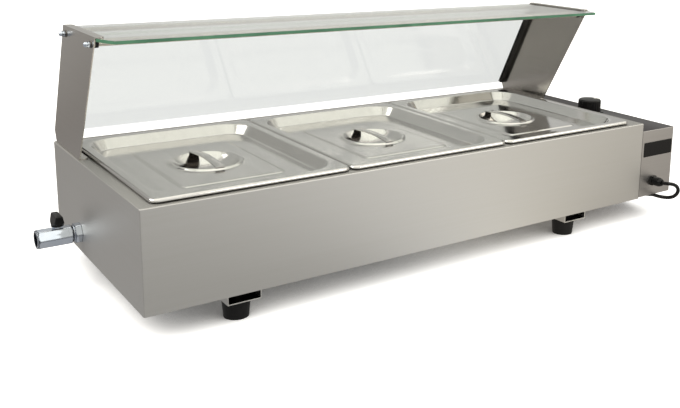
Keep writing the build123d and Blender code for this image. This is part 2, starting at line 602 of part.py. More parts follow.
# Control housing: folded sheet against the body's end, open towards it and below
CONTROL_MIDDLE_X = (X_RIGHT + CONTROL_RIGHT) / 2
CONTROL_INSIDE = CONTROL_WIDTH - CONTROL_SHEET
with BuildPart() as control_housing:
    with BuildSketch(Plane((CONTROL_MIDDLE_X, Y_MIDDLE, CONTROL_BOTTOM))):
        Rectangle(CONTROL_WIDTH, BODY_DEPTH)
    extrude(amount=CONTROL_TOP - CONTROL_BOTTOM)
    outer_edges = control_housing.faces().sort_by(Axis.X)[-1].edges().filter_by(Axis.Z)
    fillet(outer_edges + control_housing.faces().sort_by(Axis.Z)[-1].edges().sort_by(Axis.X)[1:], BODY_FOLD)
    with BuildSketch(Plane((X_RIGHT, Y_MIDDLE, CONTROL_BOTTOM))):
        Rectangle(CONTROL_INSIDE, BODY_DEPTH - 2 * CONTROL_SHEET, align=(Align.MIN, Align.CENTER))
    extrude(amount=CONTROL_TOP - CONTROL_BOTTOM - CONTROL_SHEET, mode=Mode.SUBTRACT)
    with BuildSketch(Plane((KNOB_X, KNOB_Y, CONTROL_TOP))):
        Circle(BUSHING_DIAMETER / 2 + FIT)
    extrude(amount=-CONTROL_SHEET, mode=Mode.SUBTRACT)
    with BuildSketch(axis_plane(GLAND_X, Y_FRONT, GLAND_HEIGHT, (0, 1, 0))):
        Circle(GLAND_SHANK_DIAMETER / 2 + FIT)
    extrude(amount=CONTROL_SHEET, mode=Mode.SUBTRACT)
save(control_housing, "control_housing")

with BuildPart() as control_base:
    with BuildSketch(Plane((X_RIGHT + FIT, Y_MIDDLE, CONTROL_BOTTOM))):
        Rectangle(
            CONTROL_INSIDE - 2 * FIT, BODY_DEPTH - 2 * (CONTROL_SHEET + FIT), align=(Align.MIN, Align.CENTER)
        )
    extrude(amount=CONTROL_SHEET)
save(control_base, "control_base")

# Thermostat under the housing's top, its bushing and shaft coming up through the dial
SHAFT_TOP = CONTROL_TOP + DIAL_THICKNESS + SEAT + SHAFT_ENGAGED
SHAFT_BOTTOM = CONTROL_TOP - CONTROL_SHEET - THERMOSTAT_HEIGHT / 2
with BuildPart() as thermostat_body:
    with BuildSketch(Plane((KNOB_X, KNOB_Y, CONTROL_TOP - CONTROL_SHEET))):
        Rectangle(THERMOSTAT_LENGTH, THERMOSTAT_DEPTH)
    extrude(amount=-THERMOSTAT_HEIGHT)
    with BuildSketch(Plane((KNOB_X, KNOB_Y, CONTROL_TOP - CONTROL_SHEET))):
        Circle(BUSHING_DIAMETER / 2)
    extrude(amount=CONTROL_SHEET)
    with BuildSketch(Plane((KNOB_X, KNOB_Y, SHAFT_BOTTOM - SEAT))):
        Circle(SHAFT_DIAMETER / 2 + RUNNING)
    extrude(amount=CONTROL_TOP - SHAFT_BOTTOM + SEAT, mode=Mode.SUBTRACT)
save(thermostat_body, "thermostat_body")

with BuildPart() as thermostat_shaft:
    with BuildSketch(Plane((KNOB_X, KNOB_Y, SHAFT_BOTTOM))):
        Circle(SHAFT_DIAMETER / 2)
    extrude(amount=SHAFT_TOP - SHAFT_BOTTOM)
save(thermostat_shaft, "thermostat_shaft")

with BuildPart() as thermostat_dial:
    with BuildSketch(Plane((KNOB_X, KNOB_Y, CONTROL_TOP))):
        Circle(DIAL_DIAMETER / 2)
        Circle(BUSHING_DIAMETER / 2, mode=Mode.SUBTRACT)
    extrude(amount=DIAL_THICKNESS)
save(thermostat_dial, "thermostat_dial")

# Knob: a crowned, fluted cap with a hub that grips the shaft
KNOB_BASE = CONTROL_TOP + DIAL_THICKNESS + SEAT
KNOB_SIDE = KNOB_HEIGHT - KNOB_CROWN - KNOB_SHOULDER
KNOB_PROFILE = Plane((KNOB_X, KNOB_Y, KNOB_BASE), x_dir=(1, 0, 0), z_dir=(0, -1, 0))
with BuildPart() as thermostat_knob:
    with BuildSketch(KNOB_PROFILE):
        with BuildLine():
            crown_rim = KNOB_DIAMETER / 2 - KNOB_SHOULDER
            crown = SagittaArc((0, KNOB_HEIGHT), (crown_rim, KNOB_HEIGHT - KNOB_CROWN), KNOB_CROWN_SAG)
            Polyline(crown @ 1, (KNOB_DIAMETER / 2, KNOB_SIDE), (KNOB_DIAMETER / 2, 0), (0, 0), crown @ 0)
        make_face()
    revolve(axis=Axis((KNOB_X, KNOB_Y, 0), (0, 0, 1)))
    with BuildSketch(Plane((KNOB_X, KNOB_Y, KNOB_BASE))):
        with PolarLocations(KNOB_DIAMETER / 2, KNOB_FLUTES):
            Trapezoid(KNOB_FLUTE_WIDTH, 2 * KNOB_FLUTE_DEPTH, KNOB_FLUTE_ANGLE, rotation=90)
    extrude(amount=KNOB_SIDE, mode=Mode.SUBTRACT)
    with BuildSketch(Plane((KNOB_X, KNOB_Y, KNOB_BASE))):
        Circle(KNOB_DIAMETER / 2 - KNOB_WALL)
        Circle(KNOB_HUB_DIAMETER / 2, mode=Mode.SUBTRACT)
    extrude(amount=SHAFT_ENGAGED, mode=Mode.SUBTRACT)
    with BuildSketch(Plane((KNOB_X, KNOB_Y, KNOB_BASE))):
        Circle(SHAFT_DIAMETER / 2 + RUNNING)
    extrude(amount=SHAFT_ENGAGED + SEAT, mode=Mode.SUBTRACT)
save(thermostat_knob, "thermostat_knob")

# Terminal block on the base cover
with BuildPart() as terminal_block:
    with BuildSketch(Plane((GLAND_X, Y_FRONT + TERMINAL_FROM_FRONT, CONTROL_BOTTOM + CONTROL_SHEET))):
        Rectangle(TERMINAL_LENGTH, TERMINAL_DEPTH)
    extrude(amount=TERMINAL_HEIGHT)
    with BuildSketch(Plane(terminal_block.faces().sort_by(Axis.Y)[0])):
        with GridLocations(TERMINAL_LENGTH / TERMINAL_POLES, 0, TERMINAL_POLES, 1):
            Circle(TERMINAL_WIRE_HOLE / 2)
    extrude(amount=-TERMINAL_DEPTH, mode=Mode.SUBTRACT)
save(terminal_block, "terminal_block")

# Cable gland: hex body through the wall, domed nut in front, lock nut inside
with BuildPart() as gland_body:
    with BuildSketch(axis_plane(GLAND_X, Y_FRONT, GLAND_HEIGHT, (0, -1, 0))):
        RegularPolygon(GLAND_FLATS / 2, 6, major_radius=False)
    extrude(amount=GLAND_FLANGE)
    with BuildSketch(axis_plane(GLAND_X, Y_FRONT, GLAND_HEIGHT, (0, 1, 0))):
        Circle(GLAND_SHANK_DIAMETER / 2)
    extrude(amount=GLAND_SHANK_LENGTH)
save(gland_body, "gland_body")

GLAND_NUT_LENGTH = GLAND_REACH - GLAND_FLANGE
GLAND_NUT_SEAT = (GLAND_X, Y_FRONT - GLAND_FLANGE, GLAND_HEIGHT)
with BuildPart() as gland_nut:
    with BuildSketch(Plane(GLAND_NUT_SEAT, x_dir=(0, -1, 0), z_dir=(1, 0, 0))):
        with BuildLine():
            Polyline((0, 0), (0, GLAND_NUT_DIAMETER / 2), (GLAND_NUT_STRAIGHT, GLAND_NUT_DIAMETER / 2))
            nose = TangentArc(
                (GLAND_NUT_STRAIGHT, GLAND_NUT_DIAMETER / 2),
                (GLAND_NUT_LENGTH, GLAND_NOSE_DIAMETER / 2),
                tangent=(1, 0),
            )
            Polyline(nose @ 1, (GLAND_NUT_LENGTH, 0), (0, 0))
        make_face()
    revolve(axis=Axis((GLAND_X, Y_FRONT, GLAND_HEIGHT), (0, 1, 0)))
save(gland_nut, "gland_nut")

with BuildPart() as gland_locknut:
    with BuildSketch(axis_plane(GLAND_X, Y_FRONT + CONTROL_SHEET, GLAND_HEIGHT, (0, 1, 0))):
        RegularPolygon(GLAND_FLATS / 2, 6, major_radius=False)
        Circle(GLAND_SHANK_DIAMETER / 2 + FIT, mode=Mode.SUBTRACT)
    extrude(amount=GLAND_LOCKNUT_HEIGHT)
save(gland_locknut, "gland_locknut")

# Drain: a pipe from the tank through the body's end, a wall nut and a small ball tap
VALVE_BACK = X_LEFT - DRAIN_NUT_HEIGHT
VALVE_FACE = X_LEFT - VALVE_REACH
BALL_X = X_LEFT - BALL_FROM_WALL
PIPE_END = VALVE_BACK - DRAIN_PIPE_ENGAGED
BOSS_TOP = DRAIN_HEIGHT + VALVE_FLATS / 2 + BOSS_RISE
LEVER_BASE = BOSS_TOP + SEAT
STEM_TOP = LEVER_BASE + LEVER_HUB_HEIGHT
with BuildPart() as drain_pipe:
    with BuildSketch(axis_plane(WELL_LEFT, DRAIN_Y, DRAIN_HEIGHT, (-1, 0, 0))):
        Circle(DRAIN_PIPE_DIAMETER / 2)
        Circle(DRAIN_PIPE_BORE / 2, mode=Mode.SUBTRACT)
    extrude(amount=WELL_LEFT - PIPE_END)
save(drain_pipe, "drain_pipe")

with BuildPart() as drain_nut:
    with BuildSketch(axis_plane(X_LEFT, DRAIN_Y, DRAIN_HEIGHT, (-1, 0, 0))):
        RegularPolygon(DRAIN_NUT_FLATS / 2, 6, major_radius=False, rotation=FLAT_UP)
        Circle(DRAIN_PIPE_DIAMETER / 2 + FIT, mode=Mode.SUBTRACT)
    extrude(amount=DRAIN_NUT_HEIGHT)
save(drain_nut, "drain_nut")

# Tap body: a hexagon bar with turned ends, a round collar at its outlet and a boss for the stem
VALVE_HEX_LENGTH = VALVE_REACH - DRAIN_NUT_HEIGHT - VALVE_COLLAR_LENGTH
VALVE_TURNED_RADIUS = VALVE_FLATS / 2 / math.cos(math.pi / 6) + FIT
with BuildPart() as valve_body:
    with BuildSketch(axis_plane(VALVE_BACK, DRAIN_Y, DRAIN_HEIGHT, (-1, 0, 0))):
        RegularPolygon(VALVE_FLATS / 2, 6, major_radius=False, rotation=FLAT_UP)
    extrude(amount=VALVE_HEX_LENGTH)
    with BuildSketch(Plane((VALVE_BACK, DRAIN_Y, DRAIN_HEIGHT), x_dir=(-1, 0, 0), z_dir=(0, 1, 0))):
        with BuildLine():
            Polyline(
                (0, 0),
                (0, VALVE_FLATS / 2),
                (VALVE_TURNED_END, VALVE_TURNED_RADIUS),
                (VALVE_HEX_LENGTH - VALVE_TURNED_END, VALVE_TURNED_RADIUS),
                (VALVE_HEX_LENGTH, VALVE_FLATS / 2),
                (VALVE_HEX_LENGTH, 0),
                close=True,
            )
        make_face()
    revolve(axis=Axis((VALVE_BACK, DRAIN_Y, DRAIN_HEIGHT), (1, 0, 0)), mode=Mode.INTERSECT)
    with BuildSketch(axis_plane(VALVE_FACE, DRAIN_Y, DRAIN_HEIGHT, (1, 0, 0))):
        Circle(VALVE_COLLAR_DIAMETER / 2)
    extrude(amount=VALVE_COLLAR_LENGTH)
    with BuildSketch(Plane((BALL_X, DRAIN_Y, DRAIN_HEIGHT))):
        Circle(BOSS_DIAMETER / 2)
    extrude(amount=BOSS_TOP - DRAIN_HEIGHT)
    with BuildSketch(axis_plane(VALVE_BACK, DRAIN_Y, DRAIN_HEIGHT, (-1, 0, 0))):
        Circle(DRAIN_PIPE_DIAMETER / 2 + FIT)
    extrude(amount=DRAIN_PIPE_ENGAGED, mode=Mode.SUBTRACT)
    with BuildSketch(axis_plane(VALVE_BACK, DRAIN_Y, DRAIN_HEIGHT, (-1, 0, 0))):
        Circle(VALVE_BORE / 2)
    extrude(amount=VALVE_REACH - DRAIN_NUT_HEIGHT, mode=Mode.SUBTRACT)
    with BuildSketch(axis_plane(VALVE_FACE, DRAIN_Y, DRAIN_HEIGHT, (1, 0, 0))):
        Circle(VALVE_OUTLET_DIAMETER / 2)
    extrude(amount=VALVE_OUTLET_DEPTH, mode=Mode.SUBTRACT)
    with Locations((BALL_X, DRAIN_Y, DRAIN_HEIGHT)):
        Sphere(BALL_DIAMETER / 2 + BALL_CLEARANCE, mode=Mode.SUBTRACT)
    with BuildSketch(Plane((BALL_X, DRAIN_Y, DRAIN_HEIGHT))):
        Circle(STEM_DIAMETER / 2 + RUNNING)
    extrude(amount=BOSS_TOP - DRAIN_HEIGHT, mode=Mode.SUBTRACT)
save(valve_body, "valve_body")

# Ball with its waterway across the pipe, as in a closed tap, and a flat for the stem
BALL_FLAT_Z = DRAIN_HEIGHT + BALL_DIAMETER / 2 - BALL_FLAT_DEPTH
with BuildPart() as valve_ball:
    with Locations((BALL_X, DRAIN_Y, DRAIN_HEIGHT)):
        Sphere(BALL_DIAMETER / 2)
        Cylinder(VALVE_BORE / 2, BALL_DIAMETER, rotation=(90, 0, 0), mode=Mode.SUBTRACT)
    split(bisect_by=Plane.XY.offset(BALL_FLAT_Z), keep=Keep.BOTTOM)
save(valve_ball, "valve_ball")

with BuildPart() as valve_stem:
    with BuildSketch(Plane((BALL_X, DRAIN_Y, BALL_FLAT_Z))):
        Circle(STEM_DIAMETER / 2)
    extrude(amount=STEM_TOP - BALL_FLAT_Z)
save(valve_stem, "valve_stem")

# Butterfly lever: a wing across the pipe, which rises from its hub to both tips
LEVER_WING = [
    (LEVER_FOOT_LENGTH / 2, 0),
    (LEVER_LENGTH / 2, LEVER_HEIGHT - LEVER_TIP_HEIGHT),
    (LEVER_LENGTH / 2, LEVER_HEIGHT),
    (LEVER_LENGTH / 2 - LEVER_TIP_LENGTH, LEVER_HEIGHT),
    (LEVER_DIP_LENGTH / 2, LEVER_HUB_HEIGHT),
]
with BuildPart() as valve_lever:
    with BuildSketch(Plane((BALL_X - LEVER_WIDTH / 2, DRAIN_Y, LEVER_BASE), x_dir=(0, 1, 0), z_dir=(1, 0, 0))):
        Polygon(*LEVER_WING, *[(-y, z) for y, z in reversed(LEVER_WING)], align=None)
    extrude(amount=LEVER_WIDTH)
    fillet(valve_lever.edges().filter_by(Axis.X), LEVER_CORNER)
    fillet(valve_lever.faces().filter_by(Axis.X).edges(), LEVER_EDGE)
    with BuildSketch(Plane((BALL_X, DRAIN_Y, LEVER_BASE))):
        Circle(LEVER_HUB_DIAMETER / 2)
    extrude(amount=LEVER_HUB_HEIGHT)
    with BuildSketch(Plane((BALL_X, DRAIN_Y, LEVER_BASE))):
        Circle(STEM_DIAMETER / 2 + RUNNING)
    extrude(amount=LEVER_HUB_HEIGHT, mode=Mode.SUBTRACT)
save(valve_lever, "valve_lever")

with BuildPart() as lever_screw:
    with BuildSketch(Plane((BALL_X, DRAIN_Y, STEM_TOP))):
        Circle(LEVER_SCREW_DIAMETER / 2)
    extrude(amount=LEVER_SCREW_HEIGHT)
save(lever_screw, "lever_screw")

# Guard supports: a slanted plate at each end with a foot flange and a top flange folded inwards
SUPPORT_OUTLINE = [
    (-SUPPORT_FOOT_FRONT, 0),
    (-SUPPORT_FOOT_BACK, 0),
    (-SUPPORT_HEEL, SUPPORT_HEEL_HEIGHT),
    (-SUPPORT_TOP_BACK, SUPPORT_HEIGHT),
    (-SUPPORT_TOP_FRONT, SUPPORT_HEIGHT),
]
SIDES = {-1: "left", 1: "right"}
for side, side_name in SIDES.items():
    # sketch axes run along +Y and +Z for both ends, from the body's back top edge
    plate_plane = Plane((SUPPORT_X[side], Y_BACK, Z_TOP), x_dir=(0, 1, 0), z_dir=(1, 0, 0))
    with BuildPart() as guard_support:
        with BuildSketch(plate_plane):
            Polygon(*SUPPORT_OUTLINE, align=None)
            with Locations(*[(y - Y_BACK, ROD_Z - Z_TOP) for y in ROD_Y]):
                Circle(ROD_STUD_DIAMETER / 2 + FIT, mode=Mode.SUBTRACT)
        extrude(amount=-side * SUPPORT_SHEET)
        with BuildSketch(plate_plane):
            with Locations((-SUPPORT_FOOT_FRONT, 0)):
                Rectangle(
                    SUPPORT_FOOT_FRONT - SUPPORT_FOOT_BACK, SUPPORT_SHEET, align=(Align.MIN, Align.MIN)
                )
            with Locations((-SUPPORT_TOP_FRONT, SUPPORT_HEIGHT)):
                Rectangle(SUPPORT_TOP_FRONT - SUPPORT_TOP_BACK, SUPPORT_SHEET, align=(Align.MIN, Align.MAX))
        extrude(amount=-side * SUPPORT_FLANGE)
        flange_end = guard_support.edges().filter_by(Axis.Z).sort_by(Axis.X, reverse=side < 0)[:4]
        fillet(flange_end, SUPPORT_FLANGE_ROUND)
    save(guard_support, f"guard_support_{side_name}")

# Tie rods with stepped ends, and what sits on those ends
INNER_LEFT = SUPPORT_X[-1] + SUPPORT_SHEET
INNER_RIGHT = SUPPORT_X[1] - SUPPORT_SHEET
ROD_STEP = ROD_SPACER_LENGTH + ROD_RING_LENGTH
STUD_REACH = SUPPORT_SHEET + WASHER_THICKNESS + DOME_NUT_HEX
for rod_name, rod_y in zip(("front", "back"), ROD_Y):
    with BuildPart() as tie_rod:
        with BuildSketch(axis_plane(INNER_LEFT + ROD_STEP, rod_y, ROD_Z, (1, 0, 0))):
            Circle(ROD_DIAMETER / 2)
        extrude(amount=INNER_RIGHT - INNER_LEFT - 2 * ROD_STEP)
        with BuildSketch(axis_plane(INNER_LEFT - STUD_REACH, rod_y, ROD_Z, (1, 0, 0))):
            Circle(ROD_STUD_DIAMETER / 2)
        extrude(amount=INNER_RIGHT - INNER_LEFT + 2 * STUD_REACH)
    save(tie_rod, f"tie_rod_{rod_name}")


def rod_collars(name, from_face, length, diameter):
    """Four rings on the rods' stepped ends, each a distance inwards from its plate's inner face."""
    with BuildPart() as collars:
        for face_x, inwards in ((INNER_LEFT, 1), (INNER_RIGHT, -1)):
            for y in ROD_Y:
                with BuildSketch(axis_plane(face_x + inwards * from_face, y, ROD_Z, (inwards, 0, 0))):
                    Circle(diameter / 2)
                    Circle(ROD_STUD_DIAMETER / 2 + FIT, mode=Mode.SUBTRACT)
                extrude(amount=length)
    save(collars, name)


rod_collars("rod_spacers", 0, ROD_SPACER_LENGTH, ROD_SPACER_DIAMETER)
rod_collars("rod_rings", ROD_SPACER_LENGTH, ROD_RING_LENGTH, ROD_RING_DIAMETER)
rod_collars("nut_washers", -SUPPORT_SHEET - WASHER_THICKNESS, WASHER_THICKNESS, WASHER_DIAMETER)

# Dome nuts over the rods' ends
DOME_RADIUS = DOME_NUT_FLATS / 2 - FIT
DOME_START = DOME_NUT_LENGTH - DOME_RADIUS
with BuildPart() as dome_nuts:
    for face_x, outward in ((INNER_LEFT, -1), (INNER_RIGHT, 1)):
        seat_x = face_x + outward * (SUPPORT_SHEET + WASHER_THICKNESS)
        for rod_y in ROD_Y:
            with BuildSketch(axis_plane(seat_x, rod_y, ROD_Z, (outward, 0, 0))):
                RegularPolygon(DOME_NUT_FLATS / 2, 6, major_radius=False)
            extrude(amount=DOME_NUT_HEX)
            dome_plane = Plane((seat_x, rod_y, ROD_Z), x_dir=(outward, 0, 0), z_dir=(0, -outward, 0))
            with BuildSketch(dome_plane):
                with BuildLine():
                    Polyline((DOME_NUT_HEX, 0), (DOME_NUT_HEX, DOME_RADIUS), (DOME_START, DOME_RADIUS))
                    dome = CenterArc((DOME_START, 0), DOME_RADIUS, 0, 90)
                    Line(dome @ 0, (DOME_NUT_HEX, 0))
                make_face()
            revolve(axis=Axis((seat_x, rod_y, ROD_Z), (1, 0, 0)))
            with BuildSketch(axis_plane(seat_x, rod_y, ROD_Z, (outward, 0, 0))):
                Circle(ROD_STUD_DIAMETER / 2 + FIT)
            extrude(amount=DOME_NUT_HEX + FIT, mode=Mode.SUBTRACT)
save(dome_nuts, "dome_nuts")

# Shelf glass on the rods, and the slanted guard glass in its edge channels
SHELF_HALF = (INNER_RIGHT - INNER_LEFT) / 2 - SEAT
SHELF_FRONT = Y_BACK - SUPPORT_TOP_FRONT - SHELF_OVERHANG
SHELF_BACK = Y_BACK - SUPPORT_TOP_BACK - SHELF_FROM_BACK
with BuildPart() as shelf_glass:
    with BuildSketch(Plane((X_MIDDLE, SHELF_FRONT, SHELF_TOP))):
        Polygon(
            (-SHELF_HALF + SHELF_CORNER_CUT, 0),
            (SHELF_HALF - SHELF_CORNER_CUT, 0),
            (SHELF_HALF, SHELF_OVERHANG),
            (SHELF_HALF, SHELF_BACK - SHELF_FRONT),
            (-SHELF_HALF, SHELF_BACK - SHELF_FRONT),
            (-SHELF_HALF, SHELF_OVERHANG),
            align=None,
        )
    extrude(amount=-SHELF_THICKNESS)
save(shelf_glass, "shelf_glass")

GUARD_RISE = GUARD_LENGTH - GUARD_BELOW_TOP
GUARD_SLOT = GUARD_THICKNESS + 2 * FIT
EDGE_CHANNEL_DEPTH = GUARD_SLOT + 2 * EDGE_CHANNEL_WALL
GUARD_WIDTH = INNER_RIGHT - INNER_LEFT - 2 * (EDGE_CHANNEL_WALL + FIT)
with BuildPart() as guard_glass:
    with BuildSketch(GUARD_PLANE.offset(EDGE_CHANNEL_WALL + FIT)):
        Rectangle(GUARD_WIDTH, GUARD_RISE, align=(Align.CENTER, Align.MIN))
    extrude(amount=GUARD_THICKNESS)
save(guard_glass, "guard_glass")

for side, side_name in SIDES.items():
    channel_align = (Align.MIN if side < 0 else Align.MAX, Align.MIN)
    with BuildPart() as glass_channel:
        with BuildSketch(GUARD_PLANE):
            with Locations((side * (INNER_RIGHT - INNER_LEFT) / 2, 0)):
                Rectangle(EDGE_CHANNEL_WIDTH, GUARD_RISE, align=channel_align)
        extrude(amount=EDGE_CHANNEL_DEPTH)
        with BuildSketch(GUARD_PLANE.offset(EDGE_CHANNEL_WALL)):
            with Locations((side * ((INNER_RIGHT - INNER_LEFT) / 2 - EDGE_CHANNEL_WALL), 0)):
                Rectangle(EDGE_CHANNEL_WIDTH, GUARD_RISE, align=channel_align)
        extrude(amount=GUARD_SLOT, mode=Mode.SUBTRACT)
    save(glass_channel, f"glass_channel_{side_name}")

# Mains lead: round in front of the control box, back under it and along the table to behind the body
CORD_FROM_GLAND = [
    (0, 0, 0),
    (0, -12.5, 0),
    (5.0, -23.0, -6.0),
    (12.5, -27.0, -15.5),
    (20.0, -23.0, -25.0),
    (25.0, -12.5, -31.0),
    (26.5, 11.5, -31.0),
    (28.5, 42.0, -35.0),
    (32.5, 87.0, -48.0),
]
CORD_FROM_BACK_CORNER = [
    (66.5, -225.0, 3.6),
    (65.0, -140.0, 3.4),
    (60.0, -55.0, 3.4),
    (54.0, 12.0, 3.4),
    (54.0, 50.0, 3.4),
]
GLAND_NOSE = Vector(GLAND_X, Y_FRONT - GLAND_REACH, GLAND_HEIGHT)
BACK_CORNER = Vector(X_RIGHT, Y_BACK, 0)
CORD_ROUTE = [tuple(GLAND_NOSE + Vector(*step)) for step in CORD_FROM_GLAND]
CORD_ROUTE += [tuple(BACK_CORNER + Vector(*step)) for step in CORD_FROM_BACK_CORNER]


def route_radii(points):
    """The largest bend that each corner of a route has room for."""
    radii = []
    for before, corner, after in zip(points, points[1:], points[2:]):
        arriving = Vector(*corner) - Vector(*before)
        leaving = Vector(*after) - Vector(*corner)
        half_turn = math.radians(arriving.get_angle(leaving)) / 2
        radii.append(CORD_BEND_SHARE * min(arriving.length, leaving.length) / math.tan(half_turn))
    return radii


CORD_RADII = route_radii(CORD_ROUTE)
CORD_SECTION = CORD_SIDES / 2 * (CORD_DIAMETER / 2) ** 2 * math.sin(2 * math.pi / CORD_SIDES)
with BuildPart() as power_cord:
    with BuildLine() as cord_path:
        FilletPolyline(*CORD_ROUTE, radius=CORD_RADII)
    with BuildSketch(axis_plane(*CORD_ROUTE[0], (0, -1, 0))):
        RegularPolygon(CORD_DIAMETER / 2, CORD_SIDES)
    sweep(path=cord_path.wires()[0])
save(power_cord, "power_cord")
CORD_LENGTH = cord_path.wires()[0].length
print("lead bend radii", [round(radius, 1) for radius in CORD_RADII])
print("lead volume over section times length", round(power_cord.part.volume / CORD_SECTION / CORD_LENGTH, 4))

# Coil of the rest of the lead: a flat spiral inwards, a climb of one layer, and a spiral outwards on top
COIL_START = Vector(*CORD_ROUTE[-1])
COIL_CENTRE = COIL_START + Vector(-COIL_OUTER_RADIUS, CORD_DIAMETER, 0)
COIL_INNER_RADIUS = COIL_OUTER_RADIUS - COIL_PITCH * COIL_TURNS_IN
COIL_CLIMB_SLOPE = COIL_CLIMB_STEEPNESS * COIL_LAYER_RISE / (math.pi * COIL_INNER_RADIUS)


def coil_place(quarters, radius, layer, slope=0.0):
    """A point of the coil and its direction there, after a number of quarter turns from +X."""
    angle = math.radians(90 * quarters)
    outward = Vector(math.cos(angle), math.sin(angle), 0)
    along = Vector(-math.sin(angle), math.cos(angle), slope).normalized()
    return COIL_CENTRE + outward * radius + Vector(0, 0, COIL_LAYER_RISE * layer), along


def biarc(start, end):
    """Two arcs that meet smoothly and join two places, each a point with a direction."""
    (p, p_along), (q, q_along) = start, end
    chord = q - p
    both = p_along + q_along
    spread = 2 * (1 - p_along.dot(q_along))
    reach = (math.sqrt(chord.dot(both) ** 2 + spread * chord.dot(chord)) - chord.dot(both)) / spread
    first_corner = p + p_along * reach
    second_corner = q - q_along * reach
    meeting = (first_corner + second_corner) / 2
    TangentArc(p, meeting, tangent=p_along)
    TangentArc(meeting, q, tangent=second_corner - first_corner)


COIL_IN = [coil_place(k, COIL_OUTER_RADIUS - COIL_PITCH * k / 4, 0) for k in range(4 * COIL_TURNS_IN + 1)]
COIL_CLIMB = coil_place(4 * COIL_TURNS_IN + 1, COIL_INNER_RADIUS - COIL_PITCH / 4, 0.5, COIL_CLIMB_SLOPE)
COIL_OUT = [
    coil_place(4 * COIL_TURNS_IN + 2 + k, COIL_INNER_RADIUS + COIL_PITCH * k / 4, 1)
    for k in range(COIL_QUARTERS_OUT + 1)
]
COIL_PLACES = COIL_IN + [COIL_CLIMB] + COIL_OUT
COIL_END = COIL_PLACES[-1][0] + COIL_PLACES[-1][1] * CORD_DIAMETER
with BuildPart() as cord_coil:
    with BuildLine() as coil_path:
        Line(COIL_START, COIL_PLACES[0][0])
        for place, next_place in zip(COIL_PLACES, COIL_PLACES[1:]):
            biarc(place, next_place)
        Line(COIL_PLACES[-1][0], COIL_END)
    with BuildSketch(axis_plane(*COIL_START, (0, 1, 0))):
        RegularPolygon(CORD_DIAMETER / 2, CORD_SIDES)
    sweep(path=coil_path.wires()[0])
save(cord_coil, "cord_coil")
COIL_LENGTH = coil_path.wires()[0].length


def least_self_gap(path, length, diameter):
    """The least clear distance between two stretches of a tube that lie well apart along it."""
    count = int(length / COIL_SAMPLE)
    points = [tuple(path.position_at(i / count)) for i in range(count + 1)]
    apart = int(2 * math.pi * diameter / COIL_SAMPLE)
    distances = [math.dist(points[i], points[j]) for i in range(count) for j in range(i + apart, count)]
    return min(distances) - diameter


print("coil least gap to itself", round(least_self_gap(coil_path.wires()[0], COIL_LENGTH, CORD_DIAMETER), 2))
print("coil volume over section times length", round(cord_coil.part.volume / CORD_SECTION / COIL_LENGTH, 4))
print("whole lead length", round(CORD_LENGTH + COIL_LENGTH))

# Plug at the coil's end, lying with its pins up, and the tapered sleeve where the lead enters it
PLUG_NECK = COIL_END.X - PLUG_SLEEVE_LENGTH
with BuildPart() as plug_body:
    with BuildSketch(Plane((PLUG_NECK, COIL_END.Y, 0))) as plug_outline:
        Polygon(
            (0, -PLUG_NECK_WIDTH / 2),
            (0, PLUG_NECK_WIDTH / 2),
            (-PLUG_SHOULDER, PLUG_WIDTH / 2),
            (-PLUG_LENGTH, PLUG_WIDTH / 2),
            (-PLUG_LENGTH, -PLUG_WIDTH / 2),
            (-PLUG_SHOULDER, -PLUG_WIDTH / 2),
            align=None,
        )
        fillet(plug_outline.vertices(), PLUG_ROUND)
    extrude(amount=PLUG_THICKNESS)
    chamfer(plug_body.faces().sort_by(Axis.Z)[0].edges(), PLUG_EDGE_BREAK)
    with BuildSketch(axis_plane(*COIL_END, (-1, 0, 0))):
        Circle(PLUG_SLEEVE_TIP / 2)
    with BuildSketch(axis_plane(PLUG_NECK, COIL_END.Y, COIL_END.Z, (-1, 0, 0))):
        Circle(PLUG_SLEEVE_ROOT / 2)
    loft()
save(plug_body, "plug_body")

PIN_LINE_X = PLUG_NECK - PIN_LINE_FROM_NECK
with BuildPart() as plug_pins:
    with Locations((PIN_LINE_X, COIL_END.Y, PLUG_THICKNESS)):
        with GridLocations(0, PIN_SPACING, 1, 2):
            Box(*PIN_LINE_SIZE, align=(Align.CENTER, Align.CENTER, Align.MIN))
    with Locations((PIN_LINE_X - PIN_SPACING, COIL_END.Y, PLUG_THICKNESS)):
        Box(*PIN_EARTH_SIZE, align=(Align.CENTER, Align.CENTER, Align.MIN))
save(plug_pins, "plug_pins")
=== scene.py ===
import math

import bpy
from mathutils import Matrix, Vector


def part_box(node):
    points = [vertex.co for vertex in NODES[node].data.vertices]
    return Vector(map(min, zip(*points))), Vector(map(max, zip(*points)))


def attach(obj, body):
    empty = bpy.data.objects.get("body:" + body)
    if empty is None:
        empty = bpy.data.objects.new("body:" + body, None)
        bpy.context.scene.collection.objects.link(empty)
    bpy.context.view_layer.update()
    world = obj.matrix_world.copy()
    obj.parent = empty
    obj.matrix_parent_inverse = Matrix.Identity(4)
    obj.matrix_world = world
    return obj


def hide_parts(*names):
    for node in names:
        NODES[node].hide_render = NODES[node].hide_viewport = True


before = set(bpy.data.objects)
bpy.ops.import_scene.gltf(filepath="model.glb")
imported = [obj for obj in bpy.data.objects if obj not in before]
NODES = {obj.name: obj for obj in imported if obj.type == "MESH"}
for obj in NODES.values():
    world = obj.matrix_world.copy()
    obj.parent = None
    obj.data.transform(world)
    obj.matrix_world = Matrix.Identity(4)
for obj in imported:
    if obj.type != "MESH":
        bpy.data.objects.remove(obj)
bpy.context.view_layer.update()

# Electric wet-heat bain marie: brushed steel body, three pressed lids, a glass guard with a glass shelf,
# a control box with thermostat and mains lead, and a drain tap. Metres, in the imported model's frame.

SCENE = bpy.context.scene


def new_object(name, data):
    """An object in the scene for a mesh, a curve, a text, a light or a camera."""
    made = bpy.data.objects.new(name, data)
    SCENE.collection.objects.link(made)
    return made


